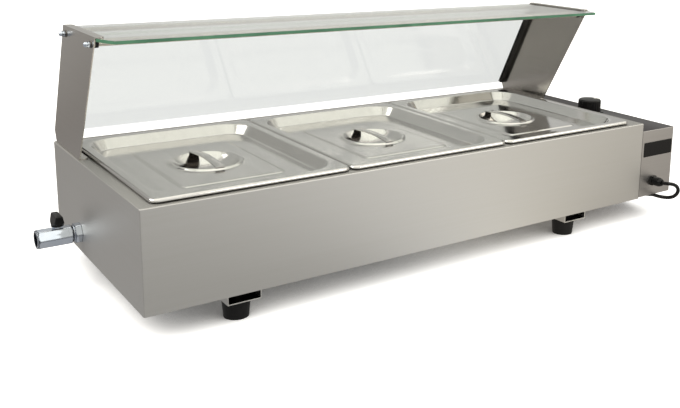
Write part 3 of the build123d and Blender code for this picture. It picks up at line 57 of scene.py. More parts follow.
# Camera: the lens axis meets the picture right of its middle and above it, as in a cropped photograph
PICTURE_WIDTH = 680
PICTURE_HEIGHT = 408
FOCAL_PIXELS = 900.5
AXIS_PIXEL = (440, 110)
SENSOR_MM = 36
CAMERA_PLACE = (-0.7381, -1.1353, 0.4949)
CAMERA_HEADING = 0.6437
CAMERA_PITCH = 0.2109
CAMERA_ROLL = 0.0254


def make_camera():
    """The photograph's view: heading is from +Y towards +X, pitch is downwards."""
    lens = bpy.data.cameras.new("camera")
    lens.sensor_width = SENSOR_MM
    lens.lens = FOCAL_PIXELS / PICTURE_WIDTH * SENSOR_MM
    lens.shift_x = (PICTURE_WIDTH / 2 - AXIS_PIXEL[0]) / PICTURE_WIDTH
    lens.shift_y = (AXIS_PIXEL[1] - PICTURE_HEIGHT / 2) / PICTURE_WIDTH
    camera = new_object("camera", lens)
    heading = Matrix.Rotation(-CAMERA_HEADING, 4, "Z")
    pitch = Matrix.Rotation(math.pi / 2 - CAMERA_PITCH, 4, "X")
    roll = Matrix.Rotation(CAMERA_ROLL, 4, "Z")
    camera.matrix_world = Matrix.Translation(CAMERA_PLACE) @ heading @ pitch @ roll
    SCENE.camera = camera


make_camera()


# Colours and nodes
def linear(code):
    """An sRGB hex colour in linear light."""
    parts = [int(code[i:i + 2], 16) / 255 for i in (1, 3, 5)]
    light = [c / 12.92 if c <= 0.04045 else ((c + 0.055) / 1.055) ** 2.4 for c in parts]
    return (*light, 1.0)


def add(tree, kind, values=None, links=None, stops=None, **settings):
    """Adds a node with its settings, its socket values, what is linked into it and a colour ramp's stops."""
    made = tree.nodes.new(kind)
    for name, value in settings.items():
        setattr(made, name, value)
    for socket, value in (values or {}).items():
        made.inputs[socket].default_value = value
    for socket, source in (links or {}).items():
        tree.links.new(source, made.inputs[socket])
    if stops:
        elements = made.color_ramp.elements
        while len(elements) < len(stops):
            elements.new(1.0)
        for element, (position, code) in zip(elements, stops):
            element.position = position
            element.color = linear(code)
    return made


def new_material(name):
    """An empty material and its node tree."""
    material = bpy.data.materials.new(name)
    material.use_nodes = True
    material.node_tree.nodes.clear()
    return material, material.node_tree


# Surfaces: patterns have their sizes in millimetres, and most of a noise lies between its low and high value
MM_PER_METRE = 1000
NOISE_LOW = 0.3
NOISE_HIGH = 0.7
STREAK_HEIGHT = 0.0003
PEBBLE_LOW = 0.35
PEBBLE_HIGH = 0.65
PEBBLE_HEIGHT = 0.0002
# a quarter turn, which smears reflections across the grain
GRAIN_TURN = 0.25
# the painted dark reflection line along a sharp edge: its reach, and the cosine of the normal's turn where it
# begins and is full
EDGE_LINE = 0.0018
EDGE_TURN = (0.995, 0.965)
PLASTIC_IOR = 1.5
PLASTIC_SHINE = 0.3
GLASS_IOR = 1.52
GLASS_GLOSS = 0.02
GROUND_GLASS_GLOSS = 0.3
GLASS_WAVE_LENGTH = 33.3
GLASS_WAVE_HEIGHT = 0.0002
GLASS_WAVE_STRENGTH = 0.02


def metal(name, dark, light, roughness, grain, relief, streak, anisotropy=0.0, painted_shade=None, painted_edge_reflection=None):
    """Worked metal: streaks along the rolling, brushing or turning direction tint, roughen and scratch it.

    streak is the streaks' size along X, Y and Z in millimetres. The shade argument paints shade: a colour on
    the faces that look down, or up, with the height of their normal where it begins and is full. The edge
    argument paints a dark reflection along sharp edges."""
    material, tree = new_material(name)
    place = add(tree, "ShaderNodeTexCoord").outputs["Object"]
    per_metre = [MM_PER_METRE / size for size in streak]
    along = add(tree, "ShaderNodeMapping", {"Scale": per_metre}, {"Vector": place})
    noise = add(tree, "ShaderNodeTexNoise", {"Scale": 1.0, "Detail": 4.0, "Roughness": 0.6},
                {"Vector": along.outputs[0]})
    streaks = noise.outputs["Fac"]
    tint = add(tree, "ShaderNodeValToRGB", links={"Fac": streaks},
               stops=[(NOISE_LOW, dark), (NOISE_HIGH, light)])
    gloss = add(tree, "ShaderNodeMapRange",
                {"From Min": NOISE_LOW, "From Max": NOISE_HIGH,
                 "To Min": roughness - grain, "To Max": roughness + grain}, {"Value": streaks})
    bump = add(tree, "ShaderNodeBump", {"Strength": relief, "Distance": STREAK_HEIGHT}, {"Height": streaks})
    tangent = add(tree, "ShaderNodeTangent", direction_type="RADIAL", axis="Z")
    normal = add(tree, "ShaderNodeNewGeometry").outputs["True Normal"]
    overlays = []
    # painted shade on the faces that look up or down
    if painted_shade:
        code, begin, full = painted_shade
        height = add(tree, "ShaderNodeSeparateXYZ", links={0: normal}).outputs["Z"]
        share = add(tree, "ShaderNodeMapRange", {"From Min": begin, "From Max": full}, {"Value": height})
        overlays.append((code, share))
    # a painted dark reflection along sharp edges
    if painted_edge_reflection:
        rounded = add(tree, "ShaderNodeBevel", {"Radius": EDGE_LINE}, samples=6).outputs[0]
        turned = add(tree, "ShaderNodeVectorMath", links={0: rounded, 1: normal}, operation="DOT_PRODUCT")
        share = add(tree, "ShaderNodeMapRange", {"From Min": EDGE_TURN[0], "From Max": EDGE_TURN[1]},
                    {"Value": turned.outputs["Value"]})
        overlays.append((painted_edge_reflection, share))
    colour = tint.outputs["Color"]
    for code, share in overlays:
        mixed = add(tree, "ShaderNodeMix", {"B": linear(code)}, {"Factor": share.outputs[0], "A": colour},
                    data_type="RGBA")
        colour = mixed.outputs["Result"]
    shader = add(tree, "ShaderNodeBsdfPrincipled",
                 {"Metallic": 1.0, "Anisotropic": anisotropy, "Anisotropic Rotation": GRAIN_TURN},
                 {"Base Color": colour, "Roughness": gloss.outputs[0],
                  "Normal": bump.outputs[0], "Tangent": tangent.outputs[0]})
    add(tree, "ShaderNodeOutputMaterial", links={"Surface": shader.outputs[0]})
    return material


def pebbled(name, dark, light, roughness, pebble, relief):
    """Plastic, rubber, lacquer or ink: a skin of pebbles, with their size in millimetres, uneven in shade."""
    material, tree = new_material(name)
    place = add(tree, "ShaderNodeTexCoord").outputs["Object"]
    noise = add(tree, "ShaderNodeTexNoise", {"Scale": MM_PER_METRE / pebble, "Detail": 2.0},
                {"Vector": place})
    pebbles = noise.outputs["Fac"]
    tint = add(tree, "ShaderNodeValToRGB", links={"Fac": pebbles},
               stops=[(PEBBLE_LOW, dark), (PEBBLE_HIGH, light)])
    bump = add(tree, "ShaderNodeBump", {"Strength": relief, "Distance": PEBBLE_HEIGHT}, {"Height": pebbles})
    shader = add(tree, "ShaderNodeBsdfPrincipled",
                 {"Roughness": roughness, "IOR": PLASTIC_IOR, "Specular IOR Level": PLASTIC_SHINE},
                 {"Base Color": tint.outputs["Color"], "Normal": bump.outputs[0]})
    add(tree, "ShaderNodeOutputMaterial", links={"Surface": shader.outputs[0]})
    return material


def sheet_glass(name, face_normal, body, edge_dark, edge_light):
    """Float glass: clear through its faces, tinted where its ground edges are seen end on."""
    material, tree = new_material(name)
    geometry = add(tree, "ShaderNodeNewGeometry")
    facing = add(tree, "ShaderNodeVectorMath", {1: face_normal}, {0: geometry.outputs["True Normal"]},
                 operation="DOT_PRODUCT")
    level = add(tree, "ShaderNodeMath", links={0: facing.outputs["Value"]}, operation="ABSOLUTE")
    is_edge = add(tree, "ShaderNodeMath", {1: 0.5}, {0: level.outputs[0]}, operation="LESS_THAN")
    from_inside = add(tree, "ShaderNodeMath",
                      links={0: is_edge.outputs[0], 1: geometry.outputs["Backfacing"]}, operation="MULTIPLY")
    place = add(tree, "ShaderNodeTexCoord").outputs["Object"]
    noise = add(tree, "ShaderNodeTexNoise", {"Scale": MM_PER_METRE / GLASS_WAVE_LENGTH, "Detail": 2.0},
                {"Vector": place})
    waves = noise.outputs["Fac"]
    bump = add(tree, "ShaderNodeBump", {"Strength": GLASS_WAVE_STRENGTH, "Distance": GLASS_WAVE_HEIGHT},
               {"Height": waves})
    clear = add(tree, "ShaderNodeBsdfPrincipled",
                {"Base Color": linear(body), "Roughness": GLASS_GLOSS, "IOR": GLASS_IOR,
                 "Transmission Weight": 1.0}, {"Normal": bump.outputs[0]})
    tint = add(tree, "ShaderNodeValToRGB", links={"Fac": waves},
               stops=[(NOISE_LOW, edge_dark), (NOISE_HIGH, edge_light)])
    ground = add(tree, "ShaderNodeBsdfPrincipled", {"Roughness": GROUND_GLASS_GLOSS, "IOR": GLASS_IOR},
                 {"Base Color": tint.outputs["Color"]})
    sheet = add(tree, "ShaderNodeMixShader",
                links={0: is_edge.outputs[0], 1: clear.outputs[0], 2: ground.outputs[0]})
    passing = add(tree, "ShaderNodeBsdfTransparent")
    shader = add(tree, "ShaderNodeMixShader",
                 links={0: from_inside.outputs[0], 1: sheet.outputs[0], 2: passing.outputs[0]})
    add(tree, "ShaderNodeOutputMaterial", links={"Surface": shader.outputs[0]})
    return material


# Streaks in millimetres along X, Y and Z: real brushing is finer, and these are as coarse as it takes to show
LEVEL_BRUSHING = (333, 333, 2)
PLATE_BRUSHING = (200, 200, 2)
POLISHING = (16.7, 111, 16.7)
DRAWING = (250, 2, 2)
# the height of the normals where painted shade begins and is full
FACING_UP = (0.5, 0.9)
FACING_DOWN = (-0.2, -0.4)

# Dry-brushed sheet: the grain runs level round the body, so reflections smear up and down; the deck, facing
# up, has painted shade
BODY_STEEL = metal("brushed_stainless_sheet", "#CFCECB", "#D1D0CE", 0.48, 0.01, 0.003, LEVEL_BRUSHING, 0.4,
                   painted_shade=("#B8B7B4", *FACING_UP))
# The same sheet folded into open channels, with painted shade, near black, on the faces that look up inside
# them
FOOT_STEEL = metal("brushed_stainless_channel", "#CDCCC9", "#D3D2CF", 0.42, 0.02, 0.006, LEVEL_BRUSHING, 0.5,
                   painted_shade=("#141312", *FACING_UP))
# The same sheet folded into the control box, a little darker than the body's, with painted shade darkening
# its top
CONTROL_STEEL = metal("brushed_stainless_box", "#BFBDBC", "#C5C3C2", 0.34, 0.02, 0.006, LEVEL_BRUSHING, 0.7,
                      painted_shade=("#393437", *FACING_UP))
# Pressed and buffed sheet: nearly a mirror, with faint polishing lines
LID_STEEL = metal("buffed_pressed_stainless", "#D5D4D2", "#DBDAD8", 0.12, 0.02, 0.004, POLISHING)
# The lid's strap: buffed, with painted shade darkening its underside
STRAP_STEEL = metal("buffed_strap_stainless", "#CFCECB", "#D5D4D1", 0.09, 0.02, 0.004, POLISHING,
                    painted_shade=("#2A2724", *FACING_DOWN))
# Deep-drawn sheet: satin, without a clear direction, with painted shade on the faces that look down, as where
# its lip turns under
PAN_STEEL = metal("satin_drawn_stainless", "#C9C8C5", "#D0CFCC", 0.30, 0.02, 0.006, (40, 40, 40),
                  painted_shade=("#2E2B29", *FACING_DOWN))
# Cut and folded plate: a fine level grain, so that the supports look even and a little darker
SUPPORT_STEEL = metal("fine_brushed_stainless_plate", "#BDB9B4", "#C2BEB9", 0.20, 0.02, 0.010,
                      PLATE_BRUSHING, 0.4)
# Cold-drawn bar: faint lines along its length
ROD_STEEL = metal("drawn_stainless_bar", "#BDB7AC", "#C9C4B9", 0.22, 0.04, 0.04, DRAWING)
# Chrome plating over polished brass: a clean blue-white mirror, with painted dark reflections along its sharp
# edges
CHROME = metal("polished_chrome_plate", "#DCE6F4", "#E6EEF9", 0.08, 0.02, 0.005, (12.5, 12.5, 12.5),
               painted_edge_reflection="#3A3D44")
# Zinc plating: a dull grey with cloudy patches
ZINC = metal("zinc_plated_steel", "#6F6C69", "#85817D", 0.35, 0.06, 0.03, (6.7, 6.7, 6.7))
# Turned brass: yellow, with tool lines round the axis
BRASS = metal("turned_brass", "#C7A24E", "#D6B566", 0.22, 0.05, 0.04, (1.1, 16.7, 16.7))
# Sheathed heater tube, browned by heat
HEATER = metal("heat_browned_sheath", "#5C534C", "#75695F", 0.38, 0.08, 0.05, (50, 14.3, 14.3))

# Hard moulded plastic: a fine spark-eroded texture that dulls its shine
PLASTIC = pebbled("black_moulded_plastic", "#0B0B0C", "#131314", 0.34, 0.67, 0.12)
# Cable gland of nylon from a polished mould: deep black with sharp highlights
NYLON = pebbled("black_polished_nylon", "#040405", "#070708", 0.17, 1.25, 0.03)
# Dipped vinyl on the tap's lever: smooth, with a soft shine
VINYL = pebbled("black_dipped_vinyl", "#040405", "#08080A", 0.36, 2.5, 0.05)
# Moulded rubber: dull, with a coarse skin
RUBBER = pebbled("black_rubber", "#0D0D0E", "#151516", 0.55, 1.1, 0.2)
# Soft PVC sheath of the lead: smooth and shiny
SHEATH = pebbled("black_pvc_sheath", "#060607", "#0B0B0C", 0.24, 1.43, 0.06)
# Lacquered sheet: even, shiny black
LACQUER = pebbled("black_lacquered_plate", "#060607", "#0A0A0B", 0.25, 3.3, 0.02)
# Powder-coated channel: dark grey with a fine orange-peel
TRIM = pebbled("dark_powder_coat", "#252423", "#302E2C", 0.42, 1.67, 0.1)
# Screen-printed dial: satin black lacquer on sheet
DIAL = pebbled("satin_printed_dial", "#17171A", "#1F1F22", 0.45, 2.0, 0.04)
# White printing ink: chalky and a little uneven
INK = pebbled("white_printing_ink", "#DAD9D4", "#E8E7E2", 0.55, 0.83, 0.05)

# Float glass: the shelf's ground edges are deep green, and the guard's polished ones are pale
SHELF_GLASS = sheet_glass("float_glass_shelf", (0.0, 0.0, 1.0), "#F8FBF9", "#3B6B52", "#528769")
GUARD_LEAN = math.radians(27)
GUARD_NORMAL = (0.0, -math.cos(GUARD_LEAN), -math.sin(GUARD_LEAN))
GUARD_GLASS = sheet_glass("float_glass_guard", GUARD_NORMAL, "#ECEEEC", "#C3D2CA", "#DCE6E0")

FINISHES = [
    (BODY_STEEL, ["body_shell", "base_plate"]),
    (FOOT_STEEL, ["foot_channel_left", "foot_channel_right"]),
    (CONTROL_STEEL, ["control_housing", "control_base"]),
    (PAN_STEEL, ["water_tank", "pan_rest_bar_1", "pan_rest_bar_2", "element_rests", "pan_1", "pan_2", "pan_3",
                 "thermostat_shaft"]),
    (STRAP_STEEL, ["lid_handle_1", "lid_handle_2", "lid_handle_3"]),
    (SUPPORT_STEEL, ["guard_support_left", "guard_support_right"]),
    (ROD_STEEL, ["tie_rod_front", "tie_rod_back", "rod_spacers"]),
    (CHROME, ["valve_ball", "valve_stem", "dome_nuts"]),
    (ZINC, ["foot_bolts", "foot_nuts", "nut_washers"]),
    (BRASS, ["element_nuts", "drain_pipe", "plug_pins"]),
    (HEATER, ["heating_element"]),
    (PLASTIC, ["thermostat_knob", "plug_body", "thermostat_body", "terminal_block"]),
    (NYLON, ["gland_body", "gland_nut", "gland_locknut"]),
    (DIAL, ["thermostat_dial"]),
    (RUBBER, ["foot_front_left", "foot_back_left", "foot_front_right", "foot_back_right", "rod_rings"]),
    (SHELF_GLASS, ["shelf_glass"]),
    (GUARD_GLASS, ["guard_glass"]),
    (TRIM, ["glass_channel_left", "glass_channel_right"]),
]
for finish, names in FINISHES:
    for name in names:
        NODES[name].material_slots[0].material = finish


# Folded and cut edges that catch the light: the split faces are joined, then the edges are broken a little
EDGE_BREAK = 0.0004
JOIN_WITHIN = 0.00002
SHARP_FOLD = math.radians(35)
for name in ["guard_support_left", "guard_support_right", "lid_handle_1", "lid_handle_2", "lid_handle_3",
             "glass_channel_left", "glass_channel_right", "foot_channel_left", "foot_channel_right"]:
    joined = NODES[name].modifiers.new("joined", "WELD")
    joined.merge_threshold = JOIN_WITHIN
    broken = NODES[name].modifiers.new("broken_edges", "BEVEL")
    broken.width = EDGE_BREAK
    broken.segments = 2
    broken.limit_method = "ANGLE"
    broken.angle_limit = SHARP_FOLD
    broken.harden_normals = True


# Mesh helpers
def new_piece(name, points, faces, material, body, smooth=True):
    """A mesh piece that rides on a body, with the finish it is given."""
    mesh = bpy.data.meshes.new(name)
    mesh.from_pydata(points, [], faces)
    mesh.polygons.foreach_set("use_smooth", [smooth] * len(mesh.polygons))
    mesh.materials.append(material)
    piece = new_object(name, mesh)
    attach(piece, body)
    return piece


def skin(rings, closed_start=True, closed_end=True):
    """Points and faces of a skin over rings with the same number of points, closed at its ends."""
    count = len(rings[0])
    points = [point for ring in rings for point in ring]
    faces = []
    for row in range(len(rings) - 1):
        for i in range(count):
            j = (i + 1) % count
            faces.append((row * count + i, row * count + j, (row + 1) * count + j, (row + 1) * count + i))
    if closed_start:
        points.append(sum((Vector(p) for p in rings[0]), Vector()) / count)
        faces += [((i + 1) % count, i, len(points) - 1) for i in range(count)]
    if closed_end:
        first = (len(rings) - 1) * count
        points.append(sum((Vector(p) for p in rings[-1]), Vector()) / count)
        faces += [(first + i, first + (i + 1) % count, len(points) - 1) for i in range(count)]
    return points, faces


def loop_skin(rings):
    """Points and faces of a skin that runs from the first ring round to it again, as on a tube."""
    return skin(rings + rings[:1], closed_start=False, closed_end=False)


# points of a rounded outline: steps in each corner's arc and in each straight edge
ARC_STEPS = 10
EDGE_STEPS = 12


def rounded_outline(half_length, half_depth, corner):
    """Points round a rectangle with round corners, counter-clockwise."""
    arcs = []
    for quarter, (side_x, side_y) in enumerate([(1, 1), (-1, 1), (-1, -1), (1, -1)]):
        centre = Vector((side_x * (half_length - corner), side_y * (half_depth - corner)))
        angles = [math.radians(90 * (quarter + step / ARC_STEPS)) for step in range(ARC_STEPS + 1)]
        arcs.append([centre + corner * Vector((math.cos(a), math.sin(a))) for a in angles])
    outline = []
    for arc, following in zip(arcs, arcs[1:] + arcs[:1]):
        outline += arc
        outline += [arc[-1].lerp(following[0], step / EDGE_STEPS) for step in range(1, EDGE_STEPS)]
    return outline


def bend(start, corner, end, radius, steps):
    """Points of an arc that rounds a corner of a profile."""
    corner = Vector(corner)
    before = (Vector(start) - corner).normalized()
    after = (Vector(end) - corner).normalized()
    half = before.angle(after) / 2
    centre = corner + (before + after).normalized() * radius / math.sin(half)
    first = corner + before * radius / math.tan(half) - centre
    last = corner + after * radius / math.tan(half) - centre
    return [centre + first.slerp(last, step / steps) * radius for step in range(steps + 1)]


# Pressed lids, each of one sheet: turned-down edge, flat rim, sloping recess, raised panel and finger dish
LID_LOW, LID_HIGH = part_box("lid_1")
LID_LENGTH = LID_HIGH.x - LID_LOW.x
LID_DEPTH = LID_HIGH.y - LID_LOW.y
LID_CORNER = 0.011
LID_SHEET = 0.0008
EDGE_WIDTH = 0.0035
EDGE_DROP = 0.0042
EDGE_ROUNDING = 8
HEM_INNER = 0.0050
HEM_OUTER = 0.0022
HEM_LOW = 0.0026
RIM_WIDTH = 0.0125
RECESS_DEPTH = 0.014
RECESS_RUN = 0.0105
RECESS_CORNER = 0.040
PRESS_RADIUS = 0.003
PRESS_STEPS = 5
PANEL_LENGTH = 0.142
PANEL_DEPTH = 0.192
PANEL_CORNER = 0.009
PANEL_RISE = 0.0016
PANEL_STEP = 0.0080
# the panel's edge from outside in, as shares of its rise: a groove, then the slope
PANEL_PROFILE = (0.0, -0.15, -0.13, 0.25, 0.72, 0.97, 1.0)
DISH_RADIUS = 0.045
DISH_DEPTH = 0.020
DISH_LIP_WIDTH = 0.0035
DISH_LIP_RISE = 0.003
# out from the lip's middle: where the flat panel ends and where the lip begins to rise
DISH_LIP_REACH = 0.007
DISH_LIP_RUN = 0.00455
DISH_LIP_SHARES = (0.15, 0.4, 0.7, 0.9, 1.0)
DISH_STEPS = 12
FLAT_FACE_WEIGHT = 100


def lid_ring(inset, height):
    """The lid's outline moved inwards; in the rim its corners grow to the recess's, and then they shrink."""
    if inset < RIM_WIDTH:
        share = max(inset - EDGE_WIDTH, 0) / (RIM_WIDTH - EDGE_WIDTH)
        corner = LID_CORNER + (RECESS_CORNER - LID_CORNER) * share
    else:
        corner = RECESS_CORNER - (inset - RIM_WIDTH)
    outline = rounded_outline(LID_LENGTH / 2 - inset, LID_DEPTH / 2 - inset, corner)
    return [(p.x, p.y, height) for p in outline]


def panel_ring(growth, height):
    """The raised panel's outline, moved outwards."""
    outline = rounded_outline(PANEL_LENGTH / 2 + growth, PANEL_DEPTH / 2 + growth, PANEL_CORNER + growth)
    return [(p.x, p.y, height) for p in outline]


def dish_ring(radius, height):
    """A circle round the dish, with its points where the panel's outline has them."""
    outline = rounded_outline(PANEL_LENGTH / 2, PANEL_DEPTH / 2, PANEL_CORNER)
    return [(*(p.normalized() * radius), height) for p in outline]


def lid_rings():
    """The lid's outer skin from its turned-down edge to the middle of its dish, with its top at height 0."""
    rings = []
    for step in range(EDGE_ROUNDING + 1):
        angle = math.pi / 2 * step / EDGE_ROUNDING
        rings.append(lid_ring(EDGE_WIDTH * (1 - math.cos(angle)), EDGE_DROP * (math.sin(angle) - 1)))
    rim = (EDGE_WIDTH, 0)
    shoulder = (RIM_WIDTH, 0)
    foot = (RIM_WIDTH + RECESS_RUN, -RECESS_DEPTH)
    floor = (foot[0] + RECESS_DEPTH, -RECESS_DEPTH)
    rings += [lid_ring(*p) for p in bend(rim, shoulder, foot, PRESS_RADIUS, PRESS_STEPS)]
    rings += [lid_ring(*p) for p in bend(shoulder, foot, floor, PRESS_RADIUS, PRESS_STEPS)]
    step_out = PANEL_STEP / 2
    floor_height = -RECESS_DEPTH
    panel_height = floor_height + PANEL_RISE
    for step, share in enumerate(PANEL_PROFILE):
        inward = PANEL_STEP * step / (len(PANEL_PROFILE) - 1)
        rings.append(panel_ring(step_out - inward, floor_height + PANEL_RISE * share))
    lip_middle = DISH_RADIUS + DISH_LIP_WIDTH / 2
    lip_height = panel_height + DISH_LIP_RISE
    rings.append(dish_ring(lip_middle + DISH_LIP_REACH, panel_height))
    for share in DISH_LIP_SHARES:
        rise = DISH_LIP_RISE * (3 * share**2 - 2 * share**3)
        rings.append(dish_ring(lip_middle + DISH_LIP_RUN * (1 - share), panel_height + rise))
    sphere = (DISH_RADIUS**2 + DISH_DEPTH**2) / (2 * DISH_DEPTH)
    for step in range(DISH_STEPS):
        radius = DISH_RADIUS * (1 - step / DISH_STEPS)
        rings.append(dish_ring(radius, lip_height - DISH_DEPTH + sphere - math.sqrt(sphere**2 - radius**2)))
    return rings


def hem_rings():
    """The sheet's end folded under the rim, which lies on the pan."""
    section = [(HEM_OUTER, -HEM_LOW), (HEM_OUTER, -LID_SHEET), (HEM_INNER, -LID_SHEET), (HEM_INNER, -HEM_LOW)]
    return [lid_ring(*p) for p in section]


LID_POINTS, LID_FACES = skin(lid_rings(), closed_start=False)
HEM_POINTS, HEM_FACES = loop_skin(hem_rings())
for number, place in enumerate(("left", "middle", "right"), start=1):
    low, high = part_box(f"lid_{number}")
    centre = Vector(((low.x + high.x) / 2, (low.y + high.y) / 2, high.z))
    lid = new_piece(f"pressed_lid_{place}", [Vector(p) + centre for p in LID_POINTS], LID_FACES, LID_STEEL,
                    f"lid_{place}")
    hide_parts(f"lid_{number}")
    sheet = lid.modifiers.new("sheet", "SOLIDIFY")
    sheet.thickness = LID_SHEET
    sheet.offset = -1
    flat = lid.modifiers.new("flat_faces_stay_flat", "WEIGHTED_NORMAL")
    flat.weight = FLAT_FACE_WEIGHT
    new_piece(f"lid_hem_{place}", [Vector(p) + centre for p in HEM_POINTS], HEM_FACES, LID_STEEL,
              f"lid_{place}", smooth=False)

# Drain tap: a hexagon bar with a flat on top and turned ends, its boss, the wall nut and a moulded lever
TAP_FLATS = 0.0230
TAP_CORNER = 0.01297
TAP_END = 0.01275
TAP_END_LENGTH = 0.0016
TAP_END_CHAMFER = 0.0005
TAP_OUTLET = 0.0093
TAP_OUTLET_DEPTH = 0.013
TAP_CHAMBER = 0.0086
TAP_CHAMFER = 0.0011
TAP_SHOULDER = 0.0040
TAP_NECK = 0.0109
TAP_NECK_LENGTH = 0.0020
PIPE_HOLE = 0.01075
PIPE_DEPTH = 0.008
NUT_FLATS = 0.0240
NUT_CORNER = 0.01355
NUT_CHAMFER = 0.0007
BOSS_RADIUS = 0.0065
BOSS_CHAMFER = 0.0003
STEM_HOLE = 0.00305
STEM_STEPS = 48
# degrees from the middle of a flat where a hexagon has its points, closer together near the corners
HEX_STEPS = (-30.0, -27.5, -20.0, -10.0, 0.0, 10.0, 20.0, 27.5)
TAP_SHARP = math.radians(14)
LEVER_SHARP = math.radians(32)
# the lever from its base up: height, half width, half length and corner, from a round hub to a wing
LEVER_SECTIONS = [
    (0.0000, 0.0080, 0.0080, 0.0078),
    (0.0026, 0.0080, 0.0082, 0.0079),
    (0.0036, 0.0077, 0.0108, 0.0070),
    (0.0048, 0.0071, 0.0132, 0.0054),
    (0.0068, 0.0064, 0.0142, 0.0036),
    (0.0105, 0.0054, 0.0146, 0.0028),
    (0.0142, 0.0046, 0.0146, 0.0022),
    (0.0150, 0.0042, 0.0143, 0.0019),
    (0.0153, 0.0036, 0.0137, 0.0015),
]
NUT_LOW, NUT_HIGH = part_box("drain_nut")
TAP_AXIS = (NUT_LOW + NUT_HIGH) / 2
STEM_LOW, STEM_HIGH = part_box("valve_stem")
STEM_AXIS = (STEM_LOW + STEM_HIGH) / 2


def tap_ring(x, radius, flats=None):
    """A circle round the tap's axis, or a hexagon whose corners are turned down to the radius."""
    ring = []
    for side in range(6):
        for step in HEX_STEPS:
            reach = min(flats / 2 / math.cos(math.radians(step)), radius) if flats else radius
            angle = math.radians(60 * side + step)
            ring.append((x, TAP_AXIS.y - reach * math.sin(angle), TAP_AXIS.z + reach * math.cos(angle)))
    return ring


def stem_ring(radius, z):
    """A circle round the stem."""
    angles = [math.tau * step / STEM_STEPS for step in range(STEM_STEPS)]
    return [(STEM_AXIS.x + radius * math.cos(a), STEM_AXIS.y + radius * math.sin(a), z) for a in angles]


def drill_for_stem(piece, low, high):
    """Cuts the stem's hole through a piece."""
    points, faces = skin([stem_ring(STEM_HOLE, low), stem_ring(STEM_HOLE, high)])
    mesh = bpy.data.meshes.new("drill")
    mesh.from_pydata(points, [], faces)
    drill = new_object("drill", mesh)
    cut = piece.modifiers.new("stem_hole", "BOOLEAN")
    cut.object = drill
    piece.data = bpy.data.meshes.new_from_object(piece.evaluated_get(bpy.context.evaluated_depsgraph_get()))
    piece.modifiers.remove(cut)
    bpy.data.objects.remove(drill)


def make_tap():
    """The tap's outside as photographed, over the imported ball, stem and pipe."""
    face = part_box("valve_body")[0].x
    shoulder = NUT_LOW.x - TAP_SHOULDER
    neck = NUT_LOW.x - TAP_NECK_LENGTH
    end = face + TAP_END_LENGTH
    points, faces = loop_skin([
        tap_ring(face, TAP_OUTLET),
        tap_ring(face, TAP_END - TAP_END_CHAMFER),
        tap_ring(face + TAP_END_CHAMFER, TAP_END),
        tap_ring(end, TAP_END),
        tap_ring(end, TAP_CORNER - TAP_CHAMFER, TAP_FLATS),
        tap_ring(end + TAP_CHAMFER, TAP_CORNER, TAP_FLATS),
        tap_ring(shoulder, TAP_CORNER, TAP_FLATS),
        tap_ring(neck, TAP_NECK),
        tap_ring(NUT_LOW.x, TAP_NECK),
        tap_ring(NUT_LOW.x, PIPE_HOLE),
        tap_ring(NUT_LOW.x - PIPE_DEPTH, PIPE_HOLE),
        tap_ring(NUT_LOW.x - PIPE_DEPTH, TAP_CHAMBER),
        tap_ring(face + TAP_OUTLET_DEPTH, TAP_CHAMBER),
        tap_ring(face + TAP_OUTLET_DEPTH, TAP_OUTLET),
    ])
    tap = new_piece("tap_bar", points, faces, CHROME, "body")
    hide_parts("valve_body")
    boss_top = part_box("valve_body")[1].z
    flat = TAP_AXIS.z + TAP_FLATS / 2
    drill_for_stem(tap, TAP_AXIS.z, boss_top)
    points, faces = loop_skin([
        stem_ring(STEM_HOLE, flat),
        stem_ring(BOSS_RADIUS, flat),
        stem_ring(BOSS_RADIUS, boss_top - BOSS_CHAMFER),
        stem_ring(BOSS_RADIUS - BOSS_CHAMFER, boss_top),
        stem_ring(STEM_HOLE, boss_top),
    ])
    boss = new_piece("tap_boss", points, faces, CHROME, "body")
    points, faces = loop_skin([
        tap_ring(NUT_LOW.x, PIPE_HOLE),
        tap_ring(NUT_LOW.x, NUT_CORNER - NUT_CHAMFER, NUT_FLATS),
        tap_ring(NUT_LOW.x + NUT_CHAMFER, NUT_CORNER, NUT_FLATS),
        tap_ring(NUT_HIGH.x, NUT_CORNER, NUT_FLATS),
        tap_ring(NUT_HIGH.x, PIPE_HOLE),
    ])
    nut = new_piece("wall_nut", points, faces, CHROME, "body")
    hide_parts("drain_nut")
    for piece in (tap, boss, nut):
        piece.data.set_sharp_from_angle(angle=TAP_SHARP)


def make_lever():
    """A moulded lever across the pipe that covers its screw."""
    base = Vector((STEM_AXIS.x, STEM_AXIS.y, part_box("valve_lever")[0].z))
    rings = []
    for height, half_width, half_length, corner in LEVER_SECTIONS:
        rings.append([base + Vector((*p, height)) for p in rounded_outline(half_width, half_length, corner)])
    points, faces = skin(rings)
    lever = new_piece("moulded_lever", points, faces, VINYL, "tap_lever")
    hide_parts("valve_lever", "lever_screw")
    lever.data.set_sharp_from_angle(angle=LEVER_SHARP)


make_tap()
make_lever()

# Mains lead: the route in front of the control box, under it and along the table, then the coil
LEAD_DIAMETER = 0.0062
LEAD_ROUND_STEPS = 4
LEAD_CURVE_STEPS = 8
LEAD_ROUTE = [
    (0.4405, -0.1935, 0.0660),
    (0.4405, -0.2040, 0.0675),
    (0.4440, -0.2125, 0.0685),
    (0.4500, -0.2170, 0.0650),
    (0.4545, -0.2175, 0.0575),
    (0.4540, -0.2145, 0.0490),
    (0.4500, -0.2080, 0.0430),
    (0.4520, -0.1930, 0.0385),
    (0.4590, -0.1720, 0.0340),
    (0.4670, -0.1515, 0.0310),
    (0.4730, -0.1065, 0.0180),
    (0.4760, -0.0315, 0.0036),
    (0.4745, 0.0535, 0.0034),
    (0.4695, 0.1385, 0.0034),
    (0.4635, 0.2055, 0.0034),
    (0.4635, 0.2435, 0.0034),
]
COIL_CENTRE = Vector((0.4195, 0.2497, 0.0034))
